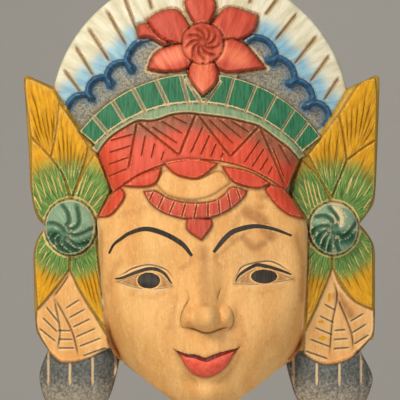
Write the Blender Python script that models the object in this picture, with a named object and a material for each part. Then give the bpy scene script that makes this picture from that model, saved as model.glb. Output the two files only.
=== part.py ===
"""Wall mask: a crowned face between two leaf wings, carved from one block of wood and hollowed behind.

The carving is a relief, so each point of its front has one distance from the wall. The drawing below
gives the outlines as the carver would pencil them on the block, u to the right and v up from the
middle of the eyes, in drawing units of about a millimetre. Each shape says how far it stands out.
The drawing is stretched to the real width, height and depth at the end.
"""
import math
from dataclasses import dataclass, field

import bmesh
import bpy
import numpy as np
from mathutils.geometry import delaunay_2d_cdt

# Driving sizes, in metres
MASK_WIDTH = 0.2024
MASK_HEIGHT = 0.2565
MASK_DEPTH = 0.0650
WALL = 0.013
HOLLOW_DEPTH = 0.030
HOLLOW_RIM = 0.016
HOLLOW_ROUNDING = 0.022
NAIL_HOLE_WIDTH = 0.007
NAIL_HOLE_DEPTH = 0.012
NAIL_HOLE_ABOVE_ORIGIN = 0.025

# Places on the drawing, in drawing units
ORIGIN_V = 95.0
FACE_U = 2.8
FACE_MIDDLE_V = 10.0
FACE_HALF_WIDTH = 61.0
FACE_LENGTH_BELOW = 95.0
HOLLOW_TOP_V = 58.0
NOSE_TOP = 9.0
NOSE_TIP = -27.0
NOSE_TURN = -18.0
NOSE_FOOT = -31.9

# How finely the drawing is followed, in drawing units
ROW_STEP = 5.0
FILL_STEP = 6.5
SNAP = 0.9
EDGE_ROUNDING = 1.6
TAPER = 0.15

# Cuts of the gouges, in drawing units: how wide, how deep, and how far apart where they fill a field
RAY_WIDTH, RAY_CUT, RAY_MARGIN = 1.9, 1.1, 2.2
KNOB_WIDTH, KNOB_CUT, KNOB_CUTS = 2.4, 1.1, 9
MIDRIB_WIDTH, MIDRIB_CUT = 1.8, 0.9
RIB_WIDTH, RIB_CUT, RIB_STEP = 1.6, 0.8, 6.2
SWIRL_WIDTH, SWIRL_CUT = 3.2, 1.5
STRIP_WIDTH, STRIP_CUT = 2.6, 1.0
FOLD_WIDTH, FOLD_CUT = 2.0, 1.2
HATCH_WIDTH, HATCH_CUT, HATCH_STEP = 1.5, 0.9, 5.85
BEAD_WIDTH, BEAD_CUT, BEAD_COUNT = 1.2, 0.8, 10
CREASE_WIDTH, CREASE_CUT = 1.8, 0.9
CORD_WIDTH, CORD_RISE = 3.6, 2.4

# Directions of the crown's two ends, in degrees
CROWN_RIGHT_END, CROWN_LEFT_END = 12.2, 167.1

# Circles of the crown, the band and the kerchief
CROWN_CENTRE, CROWN_RADIUS = (-1.1, 86.4), 85.3
BAND_CENTRE, BAND_RADIUS = (-2.2, 26.5), 86.0
BLOCK_CENTRE, BLOCK_RADIUS = (-3.9, 15.5), 79.3
HAIR_CENTRE, HAIR_RADIUS = (-1.1, -9.9), 72.8


def smooth(t):
    """Ease from 0 to 1."""
    t = np.clip(t, 0.0, 1.0)
    return t * t * (3.0 - 2.0 * t)


def quarter(t):
    """From 0 at an edge to 1 inside, rising as a quarter circle."""
    t = np.clip(t, 0.0, 1.0)
    return np.sqrt(1.0 - (1.0 - t) ** 2)


def hill(u, v, centre, width, height):
    """A soft round rise of 1 at its centre."""
    return np.exp(-((u - centre[0]) / width) ** 2 - ((v - centre[1]) / height) ** 2)


def bearing(point, centre):
    """Direction from a centre to a point, in degrees anticlockwise from the right."""
    return math.degrees(math.atan2(point[1] - centre[1], point[0] - centre[0]))


def on_circle(centre, radius, degrees):
    """The point of a circle in a direction."""
    angle = math.radians(degrees)
    return (centre[0] + radius * math.cos(angle), centre[1] + radius * math.sin(angle))


def arc(centre, radius, start, end):
    """A few points along an arc, for a smooth run to pass through."""
    count = max(4, int(abs(end - start) / 9.0) + 2)
    return [on_circle(centre, radius, start + (end - start) * k / (count - 1)) for k in range(count)]


def curve(points):
    """A smooth line through a few points, about one row step apart."""
    p = np.array(points, float)
    p = np.concatenate([2 * p[:1] - p[1:2], p, 2 * p[-1:] - p[-2:-1]])
    line = []
    for a, b, c, d in zip(p[:-3], p[1:-2], p[2:-1], p[3:]):
        count = max(1, math.ceil(np.linalg.norm(c - b) / ROW_STEP))
        for t in np.arange(count) / count:
            line.append(0.5 * (2 * b + (c - a) * t + (2 * a - 5 * b + 4 * c - d) * t * t
                               + (3 * b - a - 3 * c + d) * t ** 3))
    line.append(p[-2])
    return np.array(line)


def straight(start, end):
    """A straight cut, with points where its depth changes."""
    start, end = np.array(start), np.array(end)
    return np.array([start + (end - start) * share for share in (0, TAPER, 1 - TAPER, 1)])


def outline(*runs):
    """A closed outline of smooth runs that meet in corners."""
    line = np.concatenate([curve(run)[:-1] for run in runs])
    kept = [line[0]]
    for point in line[1:]:
        if np.linalg.norm(point - kept[-1]) > ROW_STEP * 0.3:
            kept.append(point)
    if np.linalg.norm(kept[0] - kept[-1]) < ROW_STEP * 0.3:
        kept.pop()
    return np.array(kept)


def ellipse(centre, half_width, half_height):
    """A closed ellipse."""
    count = max(12, math.ceil(2 * math.pi * max(half_width, half_height) / ROW_STEP))
    angle = np.arange(count) * 2 * math.pi / count
    return np.stack([centre[0] + half_width * np.cos(angle), centre[1] + half_height * np.sin(angle)], 1)


def swirl(centre, half_width, half_height, count, first, twist):
    """Curved cuts that run out from a hub, as on a carved rosette."""
    share = np.linspace(0.16, 0.96, max(4, math.ceil(half_width / ROW_STEP) + 1))
    cuts = []
    for k in range(count):
        angle = np.radians(first + 360.0 * k / count + twist * share)
        cuts.append(np.stack([centre[0] + half_width * share * np.cos(angle),
                              centre[1] + half_height * share * np.sin(angle)], 1))
    return cuts


def distance(points, line, closed):
    """Distance from each point to a line, and the share of the line passed at the nearest place."""
    starts = line if closed else line[:-1]
    ends = np.roll(line, -1, 0) if closed else line[1:]
    best = np.full(len(points), 1e9)
    share = np.zeros(len(points))
    for i, (a, b) in enumerate(zip(starts, ends)):
        run = b - a
        t = np.clip(((points - a) @ run) / max(run @ run, 1e-12), 0, 1)
        gap = np.linalg.norm(points - a - t[:, None] * run, axis=1)
        nearer = gap < best
        best[nearer] = gap[nearer]
        share[nearer] = (i + t[nearer]) / len(starts)
    return best, share


def inside(points, polygon):
    """Whether each point is inside a closed outline."""
    u, v = points[:, 0], points[:, 1]
    result = np.zeros(len(points), bool)
    for (u0, v0), (u1, v1) in zip(polygon, np.roll(polygon, 1, 0)):
        if v0 != v1:
            result ^= ((v0 > v) != (v1 > v)) & (u < (u1 - u0) * (v - v0) / (v1 - v0) + u0)
    return result


def depth_inside(points, polygon):
    """Distance inside a closed outline, negative outside it."""
    gap, _ = distance(points, polygon, True)
    return np.where(inside(points, polygon), gap, -gap)


def normals(line, closed):
    """Unit vectors to the left of a line's way."""
    way = np.roll(line, -1, 0) - np.roll(line, 1, 0) if closed else np.gradient(line, axis=0)
    way = way / np.maximum(np.linalg.norm(way, axis=1, keepdims=True), 1e-9)
    return np.stack([-way[:, 1], way[:, 0]], 1)


def shrunk(polygon, gap):
    """A closed outline moved inward, without the points that would cross it."""
    u, v = polygon[:, 0], polygon[:, 1]
    turn = np.sign(np.sum(u * np.roll(v, -1) - v * np.roll(u, -1)))
    moved = polygon + normals(polygon, True) * gap * turn
    return moved[depth_inside(moved, polygon) > gap * 0.8]


class Relief:
    """Points of the drawing and their heights over the wall."""

    def __init__(self, points):
        self.points = points
        self.u, self.v = points[:, 0], points[:, 1]
        self.height = crown_level(self.u, self.v)
        self.ground = self.height.copy()

    def near(self, line, margin):
        """Numbers of the points close to a line."""
        low, high = line.min(0) - margin, line.max(0) + margin
        return np.flatnonzero(np.all((self.points > low) & (self.points < high), axis=1))


@dataclass
class Level:
    """A surface of its own inside an outline, over or under what is round it."""
    edge: np.ndarray
    surface: callable
    bevel: float

    def rows(self):
        return [(self.edge, True), (shrunk(self.edge, self.bevel), True)]

    def carve(self, relief):
        i = relief.near(self.edge, self.bevel)
        share = smooth(depth_inside(relief.points[i], self.edge) / self.bevel)
        top = self.surface(relief.u[i], relief.v[i])
        relief.height[i] += (top - relief.height[i]) * share


@dataclass
class Boss:
    """A shape raised from what is under it, or sunk where its rise is negative, with a domed top."""
    edge: np.ndarray
    rise: float
    bevel: float
    crown: float = 0.0
    crown_width: float = 6.0
    dome: float = 0.0

    def rows(self):
        return [(self.edge, True), (shrunk(self.edge, self.bevel), True)]

    def carve(self, relief):
        i = relief.near(self.edge, self.bevel)
        depth = depth_inside(relief.points[i], self.edge)
        relief.height[i] += self.lift(relief.points[i], depth)

    def lift(self, points, depth):
        middle = (self.edge.max(0) + self.edge.min(0)) / 2
        half = (self.edge.max(0) - self.edge.min(0)) / 2
        out = np.linalg.norm((points - middle) / half, axis=1)
        return (self.rise * smooth(depth / self.bevel) + self.crown * quarter(depth / self.crown_width)
                + self.dome * np.sqrt(np.clip(1 - out * out, 0, 1)) * (depth > 0))


@dataclass
class Petal(Boss):
    """A boss that lies over its neighbours, with a cut round it."""
    cut: float = 0.9

    def carve(self, relief):
        i = relief.near(self.edge, 4.0)
        depth = depth_inside(relief.points[i], self.edge)
        under = relief.height[i] - self.cut * np.where(depth < 0, np.exp(-depth ** 2), 1 + 2.5 * depth)
        over = np.where(depth > 0, relief.ground[i] + self.lift(relief.points[i], depth), -1e3)
        relief.height[i] = np.maximum(under, over)


@dataclass
class Groove:
    """A V cut along a line, shallower at its ends."""
    line: np.ndarray
    width: float
    depth: float
    taper: float = TAPER

    def rows(self):
        side = normals(self.line, False) * self.width / 2
        return [(self.line, False)] + [(row[1:-1], False) for row in (self.line + side, self.line - side)]

    def carve(self, relief):
        i = relief.near(self.line, self.width)
        gap, share = distance(relief.points[i], self.line, False)
        fade = 0.15 + 0.85 * np.minimum(1, np.minimum(share, 1 - share) / self.taper)
        relief.height[i] -= self.depth * fade * np.clip(1 - 2 * gap / self.width, 0, 1)


@dataclass
class Cord:
    """A raised round cord along a line."""
    line: np.ndarray
    width: float
    rise: float

    def rows(self):
        side = normals(self.line, False) * self.width / 2
        return [(self.line, False), (self.line + side, False), (self.line - side, False)]

    def carve(self, relief):
        i = relief.near(self.line, self.width)
        gap, _ = distance(relief.points[i], self.line, False)
        relief.height[i] += self.rise * np.sqrt(np.clip(1 - (2 * gap / self.width) ** 2, 0, 1))


@dataclass
class Guide:
    """A row of points that a rounded form needs, with no cut of its own."""
    line: np.ndarray
    closed: bool = False

    def rows(self):
        return [(self.line, self.closed)]

    def carve(self, relief):
        pass


class KeepGround:
    """Marks the height that the petals carved next stand on."""

    def rows(self):
        return []

    def carve(self, relief):
        relief.ground = relief.height.copy()


# Levels of the block, in drawing units over the wall

def crown_level(u, v):
    """The fan of the crown, rising towards its middle."""
    inward = CROWN_RADIUS - np.hypot(u - CROWN_CENTRE[0], v - CROWN_CENTRE[1])
    return 16.0 + 0.20 * np.clip(inward, 0, 60)


def wing_level(u, v):
    """The two leaf wings, falling away from the head."""
    return 25.0 - 0.21 * np.clip(np.abs(u + 0.3) - 56.0, -25, None)


def bare_leaf_level(u, v):
    """The unpainted leaves under the rosettes."""
    return wing_level(u, v) - 0.6 - 0.05 * np.clip(-30.0 - v, 0, 40)


def band_level(u, v):
    """The green band, tilted a little outward."""
    out = np.hypot(u - BAND_CENTRE[0], v - BAND_CENTRE[1]) - BAND_RADIUS
    return 32.2 - 0.0017 * u * u - 0.10 * out


def lip_level(u, v):
    """The pale lip between the band and the kerchief."""
    return np.maximum(head_level(u, v) + 2.0, band_level(u, v) - 1.7)


def head_level(u, v):
    """The round of the head: a flat dome that falls off to its sides and down to the jaw."""
    x = u - FACE_U
    above = np.clip(v - 60.0, 0, None)
    dome = 46.0 - 0.0030 * x * x - 0.0011 * v * v - 0.0030 * above * above
    depth = np.clip(depth_inside(np.stack([u, v], 1), HEAD), 0, None)
    low = smooth((0.0 - v) / 55.0)
    high = smooth((v - 58.0) / 22.0)
    side_drop = (9.0 - 6.5 * high) * (1.0 - 0.75 * low)
    side = side_drop * (1 - quarter(depth / (12.0 - 4.0 * high)))
    out = np.hypot(x / FACE_HALF_WIDTH, np.minimum(v - FACE_MIDDLE_V, 0) / FACE_LENGTH_BELOW)
    jaw = 27.0 * low * (1 - quarter((1.02 - out) / 0.50))
    return dome - side - jaw


def brow_height(u):
    """Height of the upper edge of the eye sockets."""
    x = np.abs(u - 1.5)
    return 9.0 + 15.5 * smooth((x - 2.0) / 26.0) - 7.0 * smooth((x - 30.0) / 24.0)


def nose(x, v):
    """The nose: a soft ridge that ends in a ball between two wings, turned under below."""
    t = np.clip((NOSE_TOP - v) / (NOSE_TOP - NOSE_TIP), 0, 1)
    foot = 5.2 + 2.6 * t
    ridge = (1.2 + 8.0 * t ** 1.1) * np.exp(-np.abs(x / foot) ** 2.4) * smooth((NOSE_TOP + 10.0 - v) / 14.0)
    ball = 5.2 * np.sqrt(np.clip(1 - ((x + 0.8) / 8.2) ** 2 - ((v - NOSE_TIP - 3.4) / 8.0) ** 2, 0, 1))
    wing = 6.8 * np.exp(-np.abs((np.abs(x) - 10.2) / 4.3) ** 2.6 - np.abs((v + 24.6) / 6.8) ** 2.6)
    body = np.maximum(ridge + ball, wing) + 0.25 * np.minimum(ridge + ball, wing)
    under = np.clip((NOSE_TURN - v) / (NOSE_TURN - under_nose(x)), 0, 1)
    return body * np.sqrt(1 - under ** 2.6)


def under_nose(x):
    """The lower edge of the nose, highest at the wings."""
    return NOSE_FOOT + 2.8 * smooth(np.abs(x) / 11.0)


def nose_guides():
    """Rows along the ridge, its sides and foot, round the wings and under the tip."""
    v = np.array([12.0, 5.0, -3.0, -11.0, -17.0])
    rows = [np.stack([FACE_U + side * (foot + grow * (12.0 - v) / 29.0), v], 1)
            for foot, grow in ((4.0, 1.5), (7.6, 2.4), (10.5, 5.0)) for side in (-1, 1)]
    rows.append(np.stack([np.full(8, FACE_U), [16.0, 10.0, 3.0, -4.0, -11.0, -17.0, -21.5, -25.5]], 1))
    x = np.array([-14.0, -11.5, -8.8, -6.0, -3.0, 0.0, 3.0, 6.0, 8.8, 11.5, 14.0])
    rows += [np.stack([FACE_U + x, under_nose(x) + up], 1) for up in (-0.2, 1.6, 4.2)]
    ball = [ellipse((FACE_U - 0.8, NOSE_TIP + 3.4), reach, reach) for reach in (3.6, 7.4)]
    return [Guide(row) for row in rows] + [Guide(ring_row, True) for ring_row in ball]


def face_level(u, v):
    """The face, with its sockets, cheeks, mouth and chin."""
    x = u - FACE_U
    height = head_level(u, v) + nose(x, v)
    for eye in EYES:
        cu, cv = eye.middle
        height -= 3.2 * hill(u, v, (cu - math.copysign(3.0, cu), cv + 3.5), 17.0, 10.0)
        height += 2.6 * hill(u, v, (cu, cv - 1.0), 13.5, 7.0)
        height += 1.8 * hill(u, v, (FACE_U + math.copysign(29.0, cu), -30.0), 15.0, 15.0)
    height += 3.4 * hill(u, v, (FACE_U, -46.0), 15.0, 12.0)
    height += 3.4 * hill(u, v, (FACE_U, -68.0), 11.0, 7.5)
    height -= 1.3 * hill(u, v, (FACE_U, -59.5), 13.0, 3.6)
    height -= 0.8 * hill(u, v, (FACE_U, -36.5), 2.2, 4.0)
    height += 1.1 * smooth((v - brow_height(u) + 2.0) / 4.0) * hill(u, v, (0.0, 30.0), 60.0, 36.0)
    return height


@dataclass
class Pendant:
    """A fluted bell that hangs under a wing: its outline, where its middle and one of its ridges are,
    half its width, its top and lowest places, its upper corner beside the jaw, and the flutes' width."""
    edge: list
    middle_u: float
    half_width: float
    top_v: float
    low_v: float
    ridge_u: float
    corner: tuple
    flute: float = 12.6

    def level(self, u, v):
        x = (u - self.middle_u) / self.half_width
        y = np.clip((self.top_v - 20.0 - v) / (self.top_v - 20.0 - self.low_v), 0, 1)
        height = 7.5 + 16.5 * np.sqrt(np.clip(1 - 0.92 * (x * x + y * y), 0, 1))
        spread = np.sqrt(1 - 0.75 * y * y)
        turned = (u - self.middle_u) / spread - (self.ridge_u - self.middle_u)
        across = np.abs((turned / self.flute) % 1 - 0.5) * self.flute
        return height - 0.8 * np.clip(1 - (self.flute / 2 - across) / 1.5, 0, 1)


@dataclass
class Eye:
    """An eye: the crease over the lid, the lid's edge, the lower edge and the ball's middle."""
    crease: list
    lid: list
    low: list
    middle: tuple


# The outline of the whole mask

RIGHT_WING_SIDE = [(89.5, 27.3), (94.1, 33.3), (97.4, 38.7), (98.6, 45.6), (99.4, 62.1), (100.8, 100.8),
                   (100.8, 110.0)]
LEFT_WING_SIDE = [(-101.2, 108.8), (-98.4, 67.8), (-97.4, 47.3), (-94.3, 32.5), (-88.9, 25.6)]
LEFT_LOW_SIDE = [(-88.9, 25.6), (-93.4, 19.3), (-95.6, 10.8), (-95.6, -1.7), (-94.6, -29.7),
                 (-92.3, -37.1), (-87.5, -44.5)]
RIGHT_LOW_SIDE = [(90.1, -45.1), (94.9, -39.4), (98.0, -33.7), (98.4, -0.0), (98.0, 13.6), (94.3, 21.6),
                  (89.5, 27.3)]
JAW = [(-47.1, -49.9), (-34.4, -59.9), (-24.1, -67.7), (-12.7, -75.4), (0.6, -79.3), (13.9, -75.7),
       (25.5, -69.0), (38.3, -59.3),
       (48.2, -52.1)]
LEFT_BELL = [(-87.5, -44.5), (-92.0, -56.5), (-91.7, -65.0), (-88.3, -74.1), (-80.9, -81.5),
             (-70.6, -84.7), (-60.4, -81.3),
             (-53.8, -73.6), (-50.4, -64.4), (-47.1, -49.9)]
RIGHT_BELL = [(48.2, -52.1), (51.3, -64.4), (55.0, -74.1), (62.7, -81.5), (73.6, -85.0), (84.4, -81.8),
              (92.4, -74.1),
              (95.8, -66.7), (96.8, -58.7), (90.1, -45.1)]
LEFT_CHEEK = [(-50.9, 45.5), (-59.1, 30.2), (-58.8, 20.6), (-56.6, -9.9), (-54.9, -25.8), (-52.6, -39.4),
              (-47.1, -49.9)]
RIGHT_CHEEK = [(48.2, -52.1), (56.3, -41.6), (57.5, -29.2), (59.2, 1.4), (59.5, 16.4), (58.6, 29.1),
               (48.1, 46.1)]
LEFT_WING_TIP = [(-101.2, 108.8), (-100.7, 111.1), (-99.1, 111.8)]
RIGHT_WING_TIP = [(100.8, 110.0), (100.1, 111.5), (98.4, 111.9)]
CROWN_LEFT = on_circle(CROWN_CENTRE, CROWN_RADIUS, CROWN_LEFT_END)
CROWN_RIGHT = on_circle(CROWN_CENTRE, CROWN_RADIUS, CROWN_RIGHT_END)


def whole_outline():
    """The mask's outline, from the right wing up and round."""
    crown = arc(CROWN_CENTRE, CROWN_RADIUS, CROWN_RIGHT_END, CROWN_LEFT_END)
    return outline(RIGHT_WING_SIDE, RIGHT_WING_TIP, [RIGHT_WING_TIP[-1], crown[0]], crown,
                   [crown[-1], LEFT_WING_TIP[-1]], LEFT_WING_TIP[::-1], LEFT_WING_SIDE, LEFT_LOW_SIDE,
                   LEFT_BELL, JAW, RIGHT_BELL, RIGHT_LOW_SIDE)


def head_outline():
    """The head with its band, kerchief and jaw."""
    top = arc(BAND_CENTRE, BAND_RADIUS, bearing((66.0, 79.9), BAND_CENTRE),
              bearing((-67.6, 82.1), BAND_CENTRE))
    return outline(top, [top[-1], (-59.2, 68.4), LEFT_CHEEK[0]], LEFT_CHEEK, JAW, RIGHT_CHEEK,
                   [RIGHT_CHEEK[-1], (55.9, 64.5), top[0]])


def ring(outer, inner, right, left):
    """The outline between two arcs that end at the same sides."""
    over = arc(*outer, bearing(right, outer[0]), bearing(left, outer[0]))
    under = arc(*inner, bearing(left, inner[0]), bearing(right, inner[0]))
    return outline(over, [over[-1], under[0]], under, [under[-1], over[0]])


# The crown: rays, scallops and the flower

RAYS = [((-78.8, 115.8), (-66.6, 99.5)), ((-72.7, 129.6), (-60.6, 110.2)), ((-65.1, 139.7), (-51.4, 118.3)),
        ((-56.0, 151.5), (-42.1, 127.5)), ((-46.1, 160.1), (-36.1, 135.6)),
        ((-33.6, 166.4), (-27.9, 148.2)),
        ((-20.5, 169.8), (-18.2, 156.1)), ((-6.8, 171.5), (-6.2, 163.0)), ((6.9, 171.0), (5.7, 161.8)),
        ((20.0, 168.7), (16.6, 156.7)), ((32.5, 164.7), (26.3, 151.6)), ((44.5, 157.8), (35.4, 145.3)),
        ((55.5, 148.9), (40.7, 130.5)), ((67.2, 136.2), (51.3, 116.8)), ((73.8, 124.4), (60.5, 107.1)),
        ((79.3, 111.7), (68.7, 97.0))]
SCALLOPS = {
    "left": [((-73.8, 84.9), (-62.1, 98.9), 0.46), ((-62.9, 98.6), (-50.7, 107.4), 0.48),
             ((-52.1, 105.7), (-38.7, 115.4), 0.50), ((-40.1, 114.0), (-22.8, 129.9), 0.40)],
    "right": [((25.1, 130.5), (39.9, 118.2), 0.40), ((37.1, 119.4), (50.2, 106.0), 0.40),
              ((48.8, 106.8), (60.2, 94.0), 0.42), ((58.2, 93.7), (70.2, 83.8), 0.46)],
}
KNOB, KNOB_RADIUS = (0.5, 128.8), 12.0
PETALS = [
    ([(-20.1, 127.1), (-29.1, 132.1), (-35.8, 132.7), (-36.0, 140.5)],
     [(-36.0, 140.5), (-29.1, 140.5), (-15.1, 134.4)]),
    ([(-2.2, 136.0), (-8.9, 148.3), (-8.9, 155.0), (-1.7, 160.1)],
     [(-1.7, 160.1), (6.7, 155.0), (7.8, 148.3), (2.3, 136.0)]),
    ([(-6.7, 127.6), (-19.5, 129.9), (-26.8, 135.5), (-31.6, 143.0)],
     [(-31.6, 143.0), (-23.5, 147.8), (-14.5, 148.9), (-8.9, 143.3), (-3.9, 133.8)]),
    ([(2.3, 134.9), (8.4, 145.0), (16.2, 150.3), (31.9, 145.8)],
     [(31.9, 145.8), (30.2, 137.7), (24.6, 132.4), (16.2, 129.9), (6.7, 128.2)]),
    ([(-3.3, 121.5), (-8.9, 114.2), (-20.1, 112.6), (-30.7, 114.2)],
     [(-30.7, 114.2), (-27.9, 122.1), (-21.8, 126.8), (-12.3, 129.0), (-4.5, 128.2)]),
    ([(5.0, 128.8), (13.4, 131.6), (24.1, 129.3), (36.4, 115.3)],
     [(36.4, 115.3), (23.5, 113.1), (11.2, 112.8), (3.4, 121.5)]),
    ([(-3.3, 122.6), (-7.8, 113.7), (-6.1, 106.4), (0.6, 98.6)],
     [(0.6, 98.6), (7.8, 105.8), (9.0, 113.7), (4.5, 122.6)]),
]


def scallop(start, end, bulge):
    """An arc between two points that stands out by a share of its span."""
    start, end = np.array(start), np.array(end)
    middle, span = (start + end) / 2, end - start
    out = np.array([-span[1], span[0]]) * bulge
    return curve([middle - np.cos(a) * span / 2 + np.sin(a) * out for a in np.linspace(0, math.pi, 7)])


def pocket(scallops):
    """The sunk ground between a row of scallops and the band."""
    over = [point for each in scallops for point in scallop(*each)[::2]]
    right, left = bearing(over[-1], BAND_CENTRE), bearing(over[0], BAND_CENTRE)
    under = arc(BAND_CENTRE, BAND_RADIUS - 2.0, right, left)
    return outline(over, [over[-1], under[0]], under, [under[-1], over[0]])


def ray_top(point):
    """The upper end of a ray, just inside the crown's edge."""
    return on_circle(CROWN_CENTRE, CROWN_RADIUS - RAY_MARGIN, bearing(point, CROWN_CENTRE))


def crown():
    """Rays cut in the fan, then the scallops with their pockets."""
    shapes = [Groove(straight(ray_top(over), under), RAY_WIDTH, RAY_CUT) for over, under in RAYS]
    for row in SCALLOPS.values():
        shapes.append(Boss(pocket(row), rise=-1.4, bevel=0.8))
        shapes += [Cord(scallop(*each), CORD_WIDTH, CORD_RISE) for each in row]
    return shapes


def flower():
    """The crown's flower, over the band."""
    shapes = [KeepGround()]
    shapes += [Petal(outline(*runs), rise=2.6, bevel=1.6, crown=1.9, crown_width=8.0) for runs in PETALS]
    shapes.append(Petal(ellipse(KNOB, KNOB_RADIUS, KNOB_RADIUS), rise=3.6, bevel=1.2, dome=2.8))
    reach = KNOB_RADIUS * 0.9
    shapes += [Groove(cut, KNOB_WIDTH, KNOB_CUT) for cut in swirl(KNOB, reach, reach, KNOB_CUTS, 10, 75)]
    return shapes


# The wings: painted leaves, rosettes and bare leaves

LEAVES = {
    "left outer top": [[(-99.9, 110.6), (-94.5, 108.9), (-83.7, 103.8)],
                       [(-83.7, 103.8), (-80.3, 95.3), (-82.0, 79.5), (-85.4, 65.0)],
                       [(-85.4, 65.0), (-96.8, 76.9)], [(-96.8, 76.9), (-100.4, 103.3), (-99.9, 110.6)]],
    "left outer low": [[(-96.8, 76.9), (-85.4, 65.0), (-78.1, 54.6), (-74.1, 41.6)],
                       [(-74.1, 41.6), (-74.1, 25.7)], [(-74.1, 25.7), (-88.3, 27.4)],
                       [(-88.3, 27.4), (-93.4, 33.6), (-96.5, 47.2), (-96.8, 76.9)]],
    "left middle": [[(-80.3, 95.9), (-73.0, 85.7), (-63.9, 71.6)],
                    [(-63.9, 71.6), (-66.2, 60.8), (-73.5, 41.0)],
                    [(-73.5, 41.0), (-78.1, 54.6), (-85.4, 65.0)],
                    [(-85.4, 65.0), (-82.6, 77.8), (-80.3, 95.9)]],
    "left inner": [[(-60.0, 67.6), (-55.4, 59.1), (-50.9, 46.7)], [(-50.9, 46.7), (-58.8, 29.7)],
                   [(-58.8, 29.7), (-74.1, 25.7)], [(-74.1, 25.7), (-73.5, 41.6)],
                   [(-73.5, 41.6), (-66.8, 56.3), (-60.0, 67.6)]],
    "left low outer": [[(-88.3, 25.2), (-74.1, 25.7)], [(-74.1, 25.7), (-74.7, 1.1)],
                       [(-74.7, 1.1), (-84.3, -11.1), (-93.1, -21.8)],
                       [(-93.1, -21.8), (-94.9, 7.0), (-92.8, 18.4), (-88.3, 25.2)]],
    "left low inner": [[(-74.4, 0.8), (-67.3, -12.2), (-53.2, -32.6)],
                       [(-53.2, -32.6), (-57.1, -1.4), (-59.4, 19.5)],
                       [(-59.4, 19.5), (-74.1, 25.7)], [(-74.1, 25.7), (-74.4, 0.8)]],
    "right outer top": [[(98.5, 110.6), (99.4, 97.6), (98.7, 75.2)],
                        [(98.7, 75.2), (89.5, 69.3), (81.8, 63.4)],
                        [(81.8, 63.4), (79.8, 77.8), (77.3, 89.7)],
                        [(77.3, 89.7), (89.5, 107.2), (98.5, 110.6)]],
    "right outer low": [[(98.7, 75.2), (97.7, 45.5), (93.4, 33.6), (88.9, 27.4)],
                        [(88.9, 27.4), (73.6, 25.2)], [(73.6, 25.2), (73.0, 42.1)],
                        [(73.0, 42.1), (77.6, 53.5), (81.8, 63.4)],
                        [(81.8, 63.4), (89.5, 69.3), (98.7, 75.2)]],
    "right middle": [[(77.3, 89.7), (79.8, 77.8), (81.8, 63.4)], [(81.8, 63.4), (77.6, 53.5), (73.0, 42.1)],
                     [(73.0, 42.1), (66.8, 52.3), (59.5, 66.5)], [(59.5, 66.5), (77.3, 89.7)]],
    "right inner": [[(56.1, 63.6), (65.7, 54.0), (71.9, 41.6)], [(71.9, 41.6), (73.6, 25.2)],
                    [(73.6, 25.2), (58.9, 29.7)],
                    [(58.9, 29.7), (48.7, 46.1)], [(48.7, 46.1), (56.1, 63.6)]],
    "right low outer": [[(88.9, 26.3), (93.4, 21.2), (96.8, 13.3), (97.1, -21.3)],
                        [(97.1, -21.3), (86.1, -16.2), (73.3, 2.5)],
                        [(73.3, 2.5), (73.6, 25.2)], [(73.6, 25.2), (88.9, 26.3)]],
    "right low inner": [[(59.5, 16.7), (73.6, 25.2)], [(73.6, 25.2), (73.0, 2.5)],
                        [(73.0, 2.5), (70.8, -4.8), (58.0, -32.6)],
                        [(58.0, -32.6), (59.2, 1.4), (59.5, 16.7)]],
}
BARE_LEAVES = [
    ([(-74.7, 1.4), (-67.9, -12.2), (-53.7, -34.8)], [(-53.7, -34.8), (-52.0, -42.8)],
     [(-52.0, -42.8), (-64.5, -48.4), (-72.7, -50.4), (-80.3, -50.1), (-87.1, -44.5)],
     [(-87.1, -44.5), (-91.7, -36.5), (-93.9, -29.2), (-93.6, -21.8)],
     [(-93.6, -21.8), (-84.3, -11.1), (-74.7, 1.4)]),
    ([(73.6, 2.5), (78.4, -7.7), (86.1, -16.2), (97.4, -21.8)],
     [(97.4, -21.8), (97.4, -33.1), (94.3, -38.8), (87.8, -45.0), (82.1, -49.0), (73.6, -51.5),
      (66.3, -51.0), (57.2, -46.2)],
     [(57.2, -46.2), (57.8, -33.7)], [(57.8, -33.7), (64.6, -19.6), (70.8, -4.8), (73.6, 2.5)]),
]
MIDRIBS = [[(-74.7, -0.9), (-79.2, -7.7), (-84.0, -13.9)],
           [(-84.0, -13.9), (-78.1, -23.8), (-72.7, -35.2), (-69.6, -48.4)],
           [(-84.0, -13.9), (-80.3, -32.6), (-82.0, -45.0)],
           [(74.2, -4.3), (76.4, -13.9), (73.6, -29.2), (72.3, -47.3)],
           [(76.4, -13.9), (84.4, -33.7), (85.9, -44.5)]]
# Ribs of the bare leaves: the first and the last of each group
RIBS = [(((-76.9, -20.4), (-69.0, -15.3)), ((-67.3, -47.3), (-53.7, -42.2))),
        (((-81.5, -33.1), (-74.1, -33.1)), ((-81.5, -43.1), (-71.8, -42.8))),
        (((-88.3, -19.6), (-80.9, -28.6)), ((-92.2, -32.0), (-82.6, -39.4))),
        (((69.1, -17.9), (75.9, -21.8)), ((58.3, -44.2), (71.3, -49.0))),
        (((74.7, -32.9), (81.5, -32.6)), ((74.2, -43.3), (83.8, -42.8))),
        (((83.8, -28.1), (91.7, -23.5)), ((86.1, -41.1), (95.1, -35.4)))]
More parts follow.
